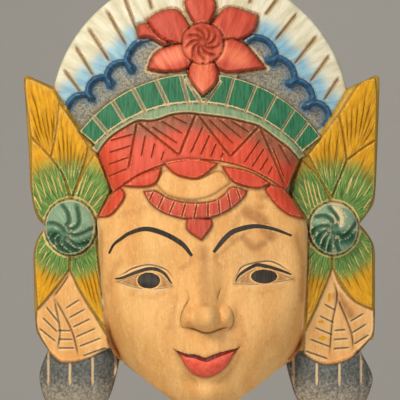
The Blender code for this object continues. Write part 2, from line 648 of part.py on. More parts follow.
# Curved cuts of the rosettes, each from its hub outward
LEFT_SWIRL = [[(-76.3, 21.8), (-77.7, 24.5), (-79.7, 26.4), (-82.8, 27.8), (-86.7, 27.9)],
              [(-75.9, 25.6), (-72.2, 24.6), (-68.8, 27.4), (-68.7, 32.2), (-70.2, 38.2)],
              [(-76.3, 25.9), (-74.1, 29.1), (-75.3, 34.1), (-78.6, 38.7)],
              [(-75.6, 23.7), (-72.2, 21.2), (-67.8, 21.8), (-60.0, 25.7)],
              [(-75.9, 21.5), (-72.8, 17.7), (-68.4, 15.9), (-61.1, 17.8)],
              [(-76.9, 20.2), (-75.6, 16.5), (-72.8, 13.7), (-69.0, 11.3)],
              [(-78.5, 21.5), (-80.7, 18.4), (-80.3, 15.2), (-77.2, 11.6)],
              [(-79.7, 22.8), (-83.2, 20.9), (-83.8, 17.7), (-82.0, 14.4)]]
RIGHT_SWIRL = [[(74.3, 26.5), (72.1, 30.2), (67.8, 32.1), (61.7, 31.1)],
               [(74.3, 25.0), (70.0, 26.2), (65.6, 25.9), (61.8, 22.8), (60.3, 18.4)],
               [(73.4, 23.7), (69.0, 23.4), (65.6, 20.2), (64.3, 15.9)],
               [(73.7, 23.1), (70.9, 21.5), (68.4, 17.7), (67.8, 13.3)],
               [(74.3, 22.8), (72.8, 19.6), (71.5, 15.2), (71.3, 11.0)],
               [(75.3, 22.4), (74.7, 19.0), (75.6, 15.2), (77.6, 11.6)],
               [(75.9, 23.4), (77.8, 20.6), (80.3, 20.9), (83.5, 24.0), (87.5, 29.1)],
               [(75.3, 25.9), (76.3, 29.7), (74.7, 33.1), (71.3, 37.0)]]
ROSETTES = [((-74.0, 25.6), 14.9, 16.0, LEFT_SWIRL), ((74.0, 24.9), 14.5, 15.2, RIGHT_SWIRL)]
BELLS = [
    Pendant(LEFT_BELL, (-70.4, -61.6)[0], 21.6, (-70.4, -44.5)[1], (-70.4, -85.0)[1], (-74.3, -61.6)[0],
            (-51.3, -42.2)),
    Pendant(RIGHT_BELL, (73.6, -61.6)[0], 23.0, (73.6, -44.5)[1], (73.6, -85.0)[1], (77.3, -61.6)[0],
            (54.2, -43.9)),
]


def between(first, last, step):
    """Lines spread evenly from a first to a last one, about a step apart."""
    first, last = np.array(first), np.array(last)
    gaps = max(1, round(np.linalg.norm((last - first).mean(0)) / step))
    return [straight(*(first + (last - first) * k / gaps)) for k in range(gaps + 1)]


def wings():
    """The side blocks, their leaves, the bells under them and the bare leaves over the bells."""
    left = outline([LEFT_WING_TIP[-1], CROWN_LEFT], [CROWN_LEFT, (-68.4, 82.0), (-58.1, 69.5)],
                   [(-58.1, 69.5), (-49.5, 41.0), (-49.5, -16.0), JAW[0]],
                   [JAW[0], (-69.5, -53.6), LEFT_BELL[0]],
                   LEFT_LOW_SIDE[::-1], LEFT_WING_SIDE[::-1], LEFT_WING_TIP)
    right = outline([RIGHT_WING_TIP[-1], CROWN_RIGHT], [CROWN_RIGHT, (67.3, 80.3), (55.9, 69.5)],
                    [(55.9, 69.5), (48.5, 41.0), (48.5, -16.0), JAW[-1]],
                    [JAW[-1], (70.2, -53.6), RIGHT_BELL[-1]],
                    RIGHT_LOW_SIDE, RIGHT_WING_SIDE, RIGHT_WING_TIP)
    shapes = [Level(left, wing_level, 2.4), Level(right, wing_level, 2.4)]
    shapes += [Boss(outline(*runs), rise=1.1, bevel=1.1, crown=0.8,
                    crown_width=7.0) for runs in LEAVES.values()]
    for bell in BELLS:
        top = outline(bell.edge, [bell.edge[-1], bell.corner], [bell.corner, bell.edge[0]])
        shapes.append(Level(top, bell.level, 1.6))
    shapes += [Level(outline(*runs), bare_leaf_level, 1.3) for runs in BARE_LEAVES]
    shapes += [Groove(curve(line), MIDRIB_WIDTH, MIDRIB_CUT) for line in MIDRIBS]
    shapes += [Groove(line, RIB_WIDTH, RIB_CUT) for first,
               last in RIBS for line in between(first, last, RIB_STEP)]
    return shapes


def rosettes():
    """The two swirled rosettes over the leaves and the edge of the face."""
    shapes = [KeepGround()]
    for centre, half_width, half_height, cuts in ROSETTES:
        shapes.append(Petal(ellipse(centre, half_width, half_height), rise=2.0, bevel=1.2, dome=6.4))
        shapes += [Groove(curve(cut), SWIRL_WIDTH, SWIRL_CUT) for cut in cuts]
    return shapes


# The band and the kerchief

# The worn strips between the band's blocks, each from its outer to its inner end
BLOCK_CUTS = [((-61.0, 88.0), (-52.8, 78.3)), ((-50.9, 97.7), (-43.3, 85.2)),
              ((-39.1, 104.2), (-31.3, 89.7)),
              ((-26.5, 109.8), (-19.0, 94.1)), ((-12.0, 111.4), (-7.5, 94.9)),
              ((-8.4, 108.1), (-0.3, 94.7)),
              ((10.4, 107.0), (2.0, 94.7)), ((18.1, 109.8), (13.2, 93.0)), ((31.0, 106.7), (24.3, 90.2)),
              ((42.4, 101.1), (34.1, 85.2)), ((52.6, 93.0), (43.6, 78.8)), ((60.1, 85.2), (51.2, 72.9))]
KERCHIEF_TOP = [(54.2, 63.4), (48.1, 69.8), (40.3, 75.7), (31.9, 81.8), (24.6, 84.0), (15.1, 86.3),
                (1.1, 88.2),
                (-7.8, 89.2), (-16.8, 88.3), (-23.5, 86.0), (-29.1, 84.9), (-35.9, 85.0), (-44.1, 80.7),
                (-52.0, 75.1), (-58.7, 66.7)]
PEAKS = [(-36.1, 84.6), (-3.1, 89.4), (31.9, 82.0)]
VALLEYS = [(-40.8, 57.8), (-12.6, 65.6), (15.7, 64.8), (45.9, 48.8)]
# Cuts in the kerchief's cloth: the first and the last of each group
HATCH = [(((-51.4, 74.0), (-38.0, 77.6)), ((-52.5, 53.9), (-41.3, 58.3))),
         (((-31.3, 77.1), (-33.5, 65.0)), ((-20.8, 68.1), (-22.6, 62.5))),
         (((-28.0, 81.9), (-13.2, 72.1)), ((-17.9, 88.2), (-8.1, 83.1))),
         (((0.7, 82.0), (-6.3, 66.7)), ((11.8, 67.6), (10.4, 63.9))),
         (((3.5, 85.9), (17.6, 71.8)), ((15.3, 85.5), (26.6, 78.1))),
         (((32.2, 74.5), (23.1, 61.2)), ((39.1, 59.7), (36.4, 54.7))),
         (((39.1, 70.1), (45.9, 52.7)), ((42.5, 72.3), (49.8, 59.2)))]


def band():
    """The kerchief with its folds, the pale lip and the band of blocks."""
    right, left = (55.9, 63.4), (-59.2, 67.0)
    hair = arc(HAIR_CENTRE, HAIR_RADIUS, bearing(LEFT_CHEEK[0], HAIR_CENTRE),
               bearing(RIGHT_CHEEK[-1], HAIR_CENTRE))
    cloth = outline(hair, [hair[-1], KERCHIEF_TOP[0]], KERCHIEF_TOP, [KERCHIEF_TOP[-1], hair[0]])
    shapes = [Boss(cloth, rise=1.4, bevel=1.0)]
    folds = [point for pair in zip(VALLEYS, PEAKS) for point in pair] + VALLEYS[-1:]
    shapes += [Groove(straight(start, end), FOLD_WIDTH, FOLD_CUT) for start, end in zip(folds, folds[1:])]
    shapes += [Groove(line, HATCH_WIDTH, HATCH_CUT)
               for first, last in HATCH for line in between(first, last, HATCH_STEP)]
    over = arc(BLOCK_CENTRE, BLOCK_RADIUS + 1.0, bearing(right, BLOCK_CENTRE), bearing(left, BLOCK_CENTRE))
    under = KERCHIEF_TOP[::-1]
    shapes.append(Level(outline(over, [over[-1], under[0]], under, [under[-1], over[0]]), lip_level, 1.0))
    shapes.append(Level(ring((BAND_CENTRE, BAND_RADIUS), (BLOCK_CENTRE, BLOCK_RADIUS), (60.4, 71.2),
                             (-63.1, 74.5)), band_level, 1.3))
    shapes += [Groove(straight(over, under), STRIP_WIDTH, STRIP_CUT) for over, under in BLOCK_CUTS]
    return shapes


# The forehead and the face

LOBES = [
    ([(-44.7, 48.3), (-42.5, 42.7), (-50.3, 32.6), (-59.2, 30.7)],
     [(-59.2, 30.7), (-51.4, 43.2), (-44.7, 48.3)]),
    ([(-45.0, 48.3), (-31.3, 48.0), (-24.9, 50.8), (-21.4, 59.7)],
     [(-21.4, 59.7), (-34.6, 55.0), (-45.0, 48.3)]),
    ([(-22.3, 62.0), (-16.2, 55.8), (-10.0, 53.3), (-1.4, 52.9), (9.8, 61.4)],
     [(9.8, 61.4), (-6.7, 64.2), (-22.3, 62.0)]),
    ([(10.4, 60.0), (16.2, 51.3), (24.1, 48.0), (31.9, 47.4), (38.6, 50.2)],
     [(38.6, 50.2), (25.7, 57.2), (10.4, 60.0)]),
    ([(37.8, 49.9), (35.0, 45.5), (45.3, 34.0), (57.6, 29.8)], [(57.6, 29.8), (47.5, 45.5), (37.8, 49.9)]),
]
CRESCENT = ([(-25.4, 49.9), (-18.7, 43.8), (-7.8, 41.3), (3.9, 43.0), (15.7, 50.5)],
            [(15.7, 50.5), (9.5, 56.7), (-1.7, 52.7), (-11.2, 53.3), (-20.1, 57.2), (-25.4, 49.9)])
BEADS_LOW = [(-32.4, 45.8), (-29.3, 39.9), (-22.9, 34.6), (-14.0, 31.4), (-4.5, 30.1), (5.0, 31.2),
             (14.3, 35.1),
             (21.8, 41.0), (25.2, 46.0)]
BEADS_TOP = [(25.2, 46.0), (16.5, 48.3), (11.5, 43.6), (4.8, 40.3), (-7.8, 39.7), (-18.4, 42.1),
             (-25.4, 46.1),
             (-32.4, 45.8)]
DROP = ([(-8.4, 30.9), (-8.1, 24.2), (-0.3, 18.6)], [(-0.3, 18.6), (5.6, 26.5), (5.3, 30.9)],
        [(5.3, 30.9), (-8.4, 30.9)])
EYES = [
    Eye(crease=[(-47.7, -2.0), (-42.7, 0.5), (-37.8, 3.2), (-28.8, 5.1), (-19.8, 2.5), (-15.8, -2.2)],
        lid=[(-47.4, -4.2), (-36.7, -0.9), (-29.7, 1.1), (-23.3, -0.4), (-16.1, -6.8)],
        low=[(-16.1, -6.8), (-22.9, -7.9), (-31.1, -8.2), (-39.6, -6.8), (-47.4, -4.2)],
        middle=(-29.3, -3.6)),
    Eye(crease=[(17.2, -4.5), (19.5, 0.2), (23.1, 4.6), (34.2, 7.0), (40.5, 6.1), (50.0, 0.6)],
        lid=[(17.5, -5.2), (26.3, 1.4), (32.7, 2.8), (41.1, 0.9), (51.0, -3.0)],
        low=[(51.0, -3.0), (39.0, -4.7), (28.4, -5.6), (17.5, -5.2)],
        middle=(34.4, -1.1)),
]
LIPS = ([(-14.4, -41.8), (-8.5, -44.0), (-3.7, -44.3), (-0.0, -45.7), (2.9, -46.7)],
        [(2.9, -46.7), (5.9, -45.1), (11.0, -43.0), (17.1, -42.1), (20.5, -40.2)],
        [(20.5, -40.2), (17.5, -43.8), (15.1, -48.6), (10.9, -53.2), (5.4, -56.5), (0.7, -57.1),
         (-4.8, -55.1), (-9.0, -50.5), (-12.2, -44.7), (-14.4, -41.8)])
UNDER_LIP = [(-9.4, -61.6), (-3.3, -60.5), (2.8, -60.2), (8.9, -60.5), (15.0, -61.6)]
LIP_LINE = [(-12.2, -43.5), (-5.0, -47.1), (2.2, -49.9), (9.4, -47.7), (17.7, -43.5)]


def jewels():
    """The lobes of the kerchief's hem, the crescent, its beads and the drop."""
    shapes = [Boss(outline(*runs), rise=2.0, bevel=1.3, crown=1.2, crown_width=5.0) for runs in LOBES]
    shapes.append(Boss(outline(*CRESCENT), rise=0.8, bevel=1.0))
    shapes.append(Boss(outline(BEADS_LOW, BEADS_TOP), rise=1.6, bevel=1.0, crown=1.0, crown_width=3.5))
    low, top = curve(BEADS_LOW), curve(BEADS_TOP[::-1])
    for k in range(1, BEAD_COUNT):
        share = k / BEAD_COUNT
        ends = [line[round(share * (len(line) - 1))] for line in (low, top)]
        shapes.append(Groove(straight(*ends), BEAD_WIDTH, BEAD_CUT))
    shapes.append(Boss(outline(*DROP), rise=1.8, bevel=1.2, crown=0.8, crown_width=4.0))
    return shapes


def face():
    """The face, then its eyes and lips."""
    shapes = [Level(HEAD, face_level, 1.2)] + nose_guides()
    shapes += [Guide(ellipse((FACE_U, -68.0), width, height), True) for width,
               height in ((6.0, 4.5), (13.0, 9.0))]
    shapes.append(Guide(curve(UNDER_LIP)))
    for eye in EYES:
        shapes.append(Groove(curve(eye.crease), CREASE_WIDTH, CREASE_CUT, taper=0.2))
        shapes.append(Boss(outline(eye.lid, eye.low), rise=-1.0, bevel=0.7, crown=1.2, crown_width=4.5))
        shapes.append(Guide(ellipse(eye.middle, 15.0, 11.0), True))
    shapes.append(Boss(outline(*LIPS), rise=-0.4, bevel=0.9, crown=3.4, crown_width=7.0))
    shapes.append(Guide(curve(LIP_LINE)))
    return shapes


HEAD = head_outline()


# From the drawing to the block

class Net:
    """Points and edges of the flat drawing. Points that nearly meet are one."""

    def __init__(self):
        self.points = []
        self.edges = set()
        self.cells = {}

    def nearby(self, point, reach):
        """Numbers of the points within a reach, with their distances."""
        cu, cv = (math.floor(c / SNAP) for c in point)
        span = math.ceil(reach / SNAP)
        for key in ((i, j) for i in range(cu - span, cu + span + 1) for j in range(cv - span,
                                                                                   cv + span + 1)):
            for number in self.cells.get(key, ()):
                gap = math.dist(self.points[number], point)
                if gap < reach:
                    yield gap, number

    def add(self, point):
        """Number of the point that stands for a place."""
        close = min(self.nearby(point, SNAP), default=None)
        return close[1] if close else self.put(point)

    def put(self, point):
        """Number of a new point, however close to others."""
        self.points.append(tuple(point))
        self.cells.setdefault(tuple(math.floor(c / SNAP) for c in point), []).append(len(self.points) - 1)
        return len(self.points) - 1

    def add_row(self, row, closed):
        """A line of points, each joined to the next."""
        if len(row) < 2:
            return
        numbers = [self.add(point) for point in row]
        follow = numbers[1:] + numbers[:1] if closed else numbers[1:]
        self.edges |= {(a, b) for a, b in zip(numbers, follow) if a != b}

    def fill(self, edge, step, clear):
        """Evenly spread points inside an outline, away from those already there."""
        low, high = edge.min(0), edge.max(0)
        rows = np.arange(low[1], high[1], step * math.sqrt(0.75))
        grid = [(u + (k % 2) * step / 2, v) for k, v in enumerate(rows) for u in np.arange(low[0], high[0],
                                                                                           step)]
        grid = np.array(grid)
        grid = grid[depth_inside(grid, edge) > clear]
        for point in grid:
            if min(self.nearby(point, clear), default=None) is None:
                self.add(point)

    def triangles(self, edge):
        """The net's points and triangles inside an outline."""
        made = delaunay_2d_cdt(self.points, list(self.edges), [], 0, 1e-4)
        points = np.array([tuple(p) for p in made[0]])
        faces = np.array(made[2])
        faces = faces[inside(points[faces].mean(1), edge)]
        a, b, c = (points[faces[:, k]] for k in range(3))
        sides = (b - a, c - a)
        sliver = np.abs(sides[0][:, 0] * sides[1][:, 1] - sides[0][:, 1] * sides[1][:, 0]) < 1e-3
        rim = set(border(faces))
        on_rim = [any(side in rim for side in edges_of(face)) for face in faces]
        return points, faces[~(sliver & np.array(on_rim))]


def edges_of(face):
    """The three directed edges of a triangle."""
    a, b, c = (int(number) for number in face)
    return ((a, b), (b, c), (c, a))


def border(faces):
    """Directed edges that only one triangle has."""
    seen = {side for face in faces for side in edges_of(face)}
    return [(a, b) for a, b in seen if (b, a) not in seen]


def front_height(points, shapes, edge):
    """Heights of the carved front."""
    relief = Relief(points)
    for shape in shapes:
        shape.carve(relief)
    depth = np.clip(depth_inside(points, edge), 0, None)
    return relief.height - EDGE_ROUNDING * (1 - quarter(depth / EDGE_ROUNDING))


def hollow_outline(unit):
    """The hollow behind the face, a rim inside the jaw and the cheeks."""
    rim = HOLLOW_RIM / unit
    half_width = FACE_HALF_WIDTH - rim
    low = FACE_MIDDLE_V - FACE_LENGTH_BELOW * 0.94 + rim
    return ellipse((FACE_U, (HOLLOW_TOP_V + low) / 2), half_width, (HOLLOW_TOP_V - low) / 2)


def block_mesh():
    """The carved block as one closed mesh, in metres."""
    edge = whole_outline()
    shapes = crown() + wings() + face() + band() + jewels() + flower() + rosettes()
    net = Net()
    net.add_row(edge, True)
    net.add_row(shrunk(edge, EDGE_ROUNDING), True)
    for shape in shapes:
        for row, closed in shape.rows():
            net.add_row(row, closed)
    net.fill(edge, FILL_STEP, FILL_STEP * 0.55)
    points, faces = net.triangles(edge)
    height = front_height(points, shapes, edge)
    unit = MASK_WIDTH / np.ptp(edge[:, 0])
    unit_up = MASK_HEIGHT / np.ptp(edge[:, 1])
    unit_out = MASK_DEPTH / height[np.unique(faces)].max()

    hollow = hollow_outline(unit)
    back = Net()
    rim = border(faces)
    numbers = {a: back.put(points[a]) for a, _ in rim}
    back.edges |= {(numbers[a], numbers[b]) for a, b in rim}
    for share in (1.0, 0.92, 0.76, 0.5):
        back.add_row((hollow - hollow.mean(0)) * share + hollow.mean(0), True)
    back.fill(edge, FILL_STEP * 3.5, FILL_STEP * 2)
    back_points, back_faces = back.triangles(edge)
    inward = np.clip(depth_inside(back_points, hollow), 0, None)
    wall_limit = front_height(back_points, shapes, edge) - WALL / unit_out
    sunk = np.minimum(HOLLOW_DEPTH / unit_out * quarter(inward * unit / HOLLOW_ROUNDING), wall_limit)
    sunk = np.where(inward > 0, np.clip(sunk, 0, None), 0)

    def place(points_in, out):
        return np.stack([points_in[:, 0] * unit, -out * unit_out, (points_in[:, 1] - ORIGIN_V) * unit_up],
                        1)

    bm = bmesh.new()
    front = [bm.verts.new(p) for p in place(points, height)]
    behind = [bm.verts.new(p) for p in place(back_points, sunk)]
    for a, b, c in faces:
        bm.faces.new((front[a], front[b], front[c]))
    for a, b, c in back_faces:
        bm.faces.new((behind[c], behind[b], behind[a]))
    for a, b in rim:
        bm.faces.new((front[b], front[a], behind[numbers[a]], behind[numbers[b]]))
    bmesh.ops.delete(bm, geom=[v for v in bm.verts if not v.link_faces], context="VERTS")
    bmesh.ops.triangulate(bm, faces=[f for f in bm.faces if len(f.verts) > 3])
    bmesh.ops.recalc_face_normals(bm, faces=bm.faces)
    mesh = bpy.data.meshes.new("mask")
    bm.to_mesh(mesh)
    bm.free()
    return mesh


def wood():
    """Light, close-grained carving wood under thin paint."""
    material = bpy.data.materials.new("painted carving wood")
    material.use_nodes = True
    shader = material.node_tree.nodes["Principled BSDF"]
    shader.inputs["Base Color"].default_value = (0.71, 0.44, 0.18, 1.0)
    shader.inputs["Roughness"].default_value = 0.6
    shader.inputs["Metallic"].default_value = 0.0
    return material


def nail_hole():
    """The cutter of the blind hole in the back that a nail in the wall goes into."""
    mesh = bpy.data.meshes.new("nail hole cutter")
    bm = bmesh.new()
    over = 0.005
    bmesh.ops.create_cone(bm, cap_ends=True, segments=20, radius1=NAIL_HOLE_WIDTH / 2,
                          radius2=NAIL_HOLE_WIDTH / 2,
                          depth=NAIL_HOLE_DEPTH + over)
    bm.to_mesh(mesh)
    bm.free()
    cutter = bpy.data.objects.new("nail hole cutter", mesh)
    cutter.rotation_euler = (math.radians(90), 0, 0)
    cutter.location = (0, (over - NAIL_HOLE_DEPTH) / 2, NAIL_HOLE_ABOVE_ORIGIN)
    cutter.hide_render = True
    cutter.display_type = "WIRE"
    bpy.context.scene.collection.objects.link(cutter)
    return cutter


def main():
    """Build the mask at its real size, its origin on the back where it meets the wall."""
    for each in list(bpy.data.objects):
        bpy.data.objects.remove(each)
    mask = bpy.data.objects.new("mask", block_mesh())
    mask.data.materials.append(wood())
    bpy.context.scene.collection.objects.link(mask)
    mask.data.shade_smooth()
    mask.data.set_sharp_from_angle(angle=math.radians(35))
    hole = mask.modifiers.new("nail hole", "BOOLEAN")
    hole.object = nail_hole()
    hole.operation = "DIFFERENCE"
    hole.solver = "EXACT"


main()
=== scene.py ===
"""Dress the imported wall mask: one block of light carving wood, cut in relief and thinly painted.

The relief follows the carver's drawing of the part: outlines in drawing units of about a millimetre,
u to the right and v up from the middle of the eyes, and for each shape how far it stands out. Here the
drawing is followed finely, with the leaf veins and small cuts that the plain solid leaves out, and
every shape also says what it was painted with. A block of some hundred crossing cuts has no primitive
to start from, so its mesh is woven from the drawing in code.
"""
import logging
import math
from dataclasses import dataclass, field
from enum import Enum
from typing import Callable, Optional

import bpy
import numpy as np
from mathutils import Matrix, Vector
from mathutils.geometry import delaunay_2d_cdt


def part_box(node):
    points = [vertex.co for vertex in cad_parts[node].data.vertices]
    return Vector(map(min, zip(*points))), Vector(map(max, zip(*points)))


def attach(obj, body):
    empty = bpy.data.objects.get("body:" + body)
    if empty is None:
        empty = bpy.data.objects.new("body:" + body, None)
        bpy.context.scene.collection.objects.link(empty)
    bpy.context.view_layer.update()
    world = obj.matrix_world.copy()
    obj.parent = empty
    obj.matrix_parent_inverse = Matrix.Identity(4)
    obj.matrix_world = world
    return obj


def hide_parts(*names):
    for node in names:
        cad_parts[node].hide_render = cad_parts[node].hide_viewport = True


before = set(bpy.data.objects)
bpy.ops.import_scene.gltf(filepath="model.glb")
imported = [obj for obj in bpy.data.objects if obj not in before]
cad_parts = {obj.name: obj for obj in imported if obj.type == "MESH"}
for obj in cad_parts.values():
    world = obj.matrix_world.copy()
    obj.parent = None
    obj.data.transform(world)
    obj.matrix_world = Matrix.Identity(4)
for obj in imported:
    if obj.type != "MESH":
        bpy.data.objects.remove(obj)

LOG = logging.getLogger("wall mask")

# How finely the drawing is followed, in drawing units
ROW_STEP = 0.9
HEAD_STEP = 2.0
FILL_STEP = 0.95
SNAP = 0.22
BACK_STEP, BACK_SNAP = 6.0, 0.6
EDGE_MARGIN = 3.0
TAPER = 0.15
EDGE_ROUNDING = 1.6

# Places and sizes of the drawing that several parts share
FACE_U = 2.8
FACE_MIDDLE_V = 10.0
FACE_HALF_WIDTH = 61.0
FACE_LENGTH_BELOW = 95.0
HOLLOW_TOP_V = 58.0
RAY_MARGIN = 2.2
RIB_STEP = 6.2
HATCH_STEP = 5.85
CROWN_CENTRE, CROWN_RADIUS = (-1.1, 86.4), 85.3
CROWN_RIGHT_END, CROWN_LEFT_END = 12.2, 167.1
BAND_CENTRE, BAND_RADIUS = (-2.2, 26.5), 86.0
BLOCK_CENTRE, BLOCK_RADIUS = (-3.9, 15.5), 79.3
HAIR_CENTRE, HAIR_RADIUS = (-1.1, -9.9), 72.8

# Levels over the wall and slopes, in drawing units
CROWN_RIM, CROWN_SLOPE, CROWN_SLOPE_WIDTH = 16.0, 0.20, 60.0
WING_TOP, WING_SLOPE, WING_RISE_WIDTH = 25.0, 0.21, 25.0
WING_MIDDLE_U, WING_SHOULDER = -0.3, 56.0
BARE_LEAF_STEP, BARE_LEAF_SLOPE, BARE_LEAF_V = 0.6, 0.05, -30.0
BAND_TOP, BAND_BEND, BAND_TILT = 32.2, 0.0017, 0.10
LIP_OVER_HEAD, LIP_UNDER_BAND = 2.0, 1.7
HEAD_TOP, JAW_DROP, BROW_EDGE = 46.0, 27.0, 1.1

Point = tuple[float, float]
Surface = Callable[[np.ndarray, np.ndarray], np.ndarray]


class Coat(Enum):
    """What a patch of the mask was painted with. The value is the number of its material slot."""
    BARE = 0
    RED = 1
    GREEN = 2
    PALE_GREEN = 3
    WHITE = 4
    BLUE = 5
    GROUND = 6
    LEAF = 7
    BELL = 8
    BLACK = 9
    LIP = 10
    EDGE = 11
    ROSETTE = 12
    CLOTH = 13
    STRIP = 14
    EYE = 15
    SHADED_UPPER_LIP = 16
    BACK = 17


def smooth(t: np.ndarray) -> np.ndarray:
    """Ease from 0 to 1."""
    t = np.clip(t, 0.0, 1.0)
    return t * t * (3.0 - 2.0 * t)


def quarter(t: np.ndarray) -> np.ndarray:
    """From 0 at an edge to 1 inside, rising as a quarter circle."""
    t = np.clip(t, 0.0, 1.0)
    return np.sqrt(1.0 - (1.0 - t) ** 2)


def bearing(point: Point, centre: Point) -> float:
    """Direction from a centre to a point, in degrees anticlockwise from the right."""
    return math.degrees(math.atan2(point[1] - centre[1], point[0] - centre[0]))


def on_circle(centre: Point, radius: float, degrees: float) -> Point:
    """The point of a circle in a direction."""
    angle = math.radians(degrees)
    return (centre[0] + radius * math.cos(angle), centre[1] + radius * math.sin(angle))


def arc(centre: Point, radius: float, start: float, end: float) -> list[Point]:
    """A few points along an arc, for a smooth run to pass through."""
    count = max(4, int(abs(end - start) / 9.0) + 2)
    return [on_circle(centre, radius, start + (end - start) * k / (count - 1)) for k in range(count)]


def curve(points: list[Point], step: float = ROW_STEP) -> np.ndarray:
    """A smooth line through a few points.

    Args:
        points: the places it passes through, in order.
        step: the distance between its own points.

    Returns:
        The line's points, one a row.
    """
    p = np.array(points, float)
    p = np.concatenate([2 * p[:1] - p[1:2], p, 2 * p[-1:] - p[-2:-1]])
    line = []
    for a, b, c, d in zip(p[:-3], p[1:-2], p[2:-1], p[3:]):
        count = max(1, math.ceil(np.linalg.norm(c - b) / step))
        for t in np.arange(count) / count:
            line.append(0.5 * (2 * b + (c - a) * t + (2 * a - 5 * b + 4 * c - d) * t * t
                               + (3 * b - a - 3 * c + d) * t ** 3))
    line.append(p[-2])
    return np.array(line)


def straight(start: Point, end: Point) -> np.ndarray:
    """Evenly spaced points from one place to another."""
    count = max(4, math.ceil(math.dist(start, end) / ROW_STEP) + 1)
    return np.linspace(np.array(start), np.array(end), count)


def outline(*runs: list[Point], step: float = ROW_STEP) -> np.ndarray:
    """A closed outline of smooth runs that meet in corners.

    Args:
        runs: each run's points, starting where the run before it ends.
        step: the distance between the outline's own points.

    Returns:
        The outline's points, one a row, the first not repeated.
    """
    line = np.concatenate([curve(run, step)[:-1] for run in runs])
    kept = [line[0]]
    for point in line[1:]:
        if np.linalg.norm(point - kept[-1]) > step * 0.3:
            kept.append(point)
    if np.linalg.norm(kept[0] - kept[-1]) < step * 0.3:
        kept.pop()
    return np.array(kept)


def ellipse(centre: Point, half_width: float, half_height: float) -> np.ndarray:
    """A closed ellipse."""
    count = max(12, math.ceil(2 * math.pi * max(half_width, half_height) / ROW_STEP))
    angle = np.arange(count) * 2 * math.pi / count
    return np.stack([centre[0] + half_width * np.cos(angle), centre[1] + half_height * np.sin(angle)], 1)


def distance(points: np.ndarray, line: np.ndarray, closed: bool) -> tuple[np.ndarray, np.ndarray]:
    """How far points are from a line.

    Args:
        points: the places asked about, one a row.
        line: the line's points.
        closed: whether the line's end joins its start.

    Returns:
        The distances, and the share of the line passed at the nearest place.
    """
    starts = line if closed else line[:-1]
    ends = np.roll(line, -1, 0) if closed else line[1:]
    best = np.full(len(points), 1e9)
    share = np.zeros(len(points))
    for i, (a, b) in enumerate(zip(starts, ends)):
        run = b - a
        away_u, away_v = points[:, 0] - a[0], points[:, 1] - a[1]
        t = np.clip((away_u * run[0] + away_v * run[1]) / max(run @ run, 1e-12), 0, 1)
        gap = (away_u - t * run[0]) ** 2 + (away_v - t * run[1]) ** 2
        nearer = gap < best
        best[nearer] = gap[nearer]
        share[nearer] = (i + t[nearer]) / len(starts)
    return np.sqrt(best), share


def inside(points: np.ndarray, polygon: np.ndarray) -> np.ndarray:
    """Whether each point is inside a closed outline."""
    u, v = points[:, 0], points[:, 1]
    result = np.zeros(len(points), bool)
    for (u0, v0), (u1, v1) in zip(polygon, np.roll(polygon, 1, 0)):
        if v0 != v1:
            result ^= ((v0 > v) != (v1 > v)) & (u < (u1 - u0) * (v - v0) / (v1 - v0) + u0)
    return result


def depth_inside(points: np.ndarray, polygon: np.ndarray) -> np.ndarray:
    """Distance inside a closed outline, negative outside it."""
    gap, _ = distance(points, polygon, True)
    return np.where(inside(points, polygon), gap, -gap)


def normals(line: np.ndarray, closed: bool) -> np.ndarray:
    """Unit vectors to the left of a line's way."""
    way = np.roll(line, -1, 0) - np.roll(line, 1, 0) if closed else np.gradient(line, axis=0)
    way = way / np.maximum(np.linalg.norm(way, axis=1, keepdims=True), 1e-9)
    return np.stack([-way[:, 1], way[:, 0]], 1)


def shrunk(polygon: np.ndarray, gap: float) -> np.ndarray:
    """A closed outline moved inward, without the points that would cross it."""
    u, v = polygon[:, 0], polygon[:, 1]
    turn = np.sign(np.sum(u * np.roll(v, -1) - v * np.roll(u, -1)))
    moved = polygon + normals(polygon, True) * gap * turn
    return moved[depth_inside(moved, polygon) > gap * 0.8]


def swirl(centre: Point, half_width: float, half_height: float, count: int, first: float,
          twist: float) -> list[np.ndarray]:
    """Curved cuts that run out from a hub, as on a carved rosette.

    Args:
        centre: the hub.
        half_width: how far the cuts reach to the side.
        half_height: how far they reach up and down.
        count: how many there are.
        first: the first one's direction, in degrees.
        twist: how far each turns on its way out, in degrees.

    Returns:
        The cuts' lines.
    """
    share = np.linspace(0.12, 0.97, max(5, math.ceil(half_width / ROW_STEP)))
    cuts = []
    for k in range(count):
        angle = np.radians(first + 360.0 * k / count + twist * share)
        cuts.append(np.stack([centre[0] + half_width * share * np.cos(angle),
                              centre[1] + half_height * share * np.sin(angle)], 1))
    return cuts


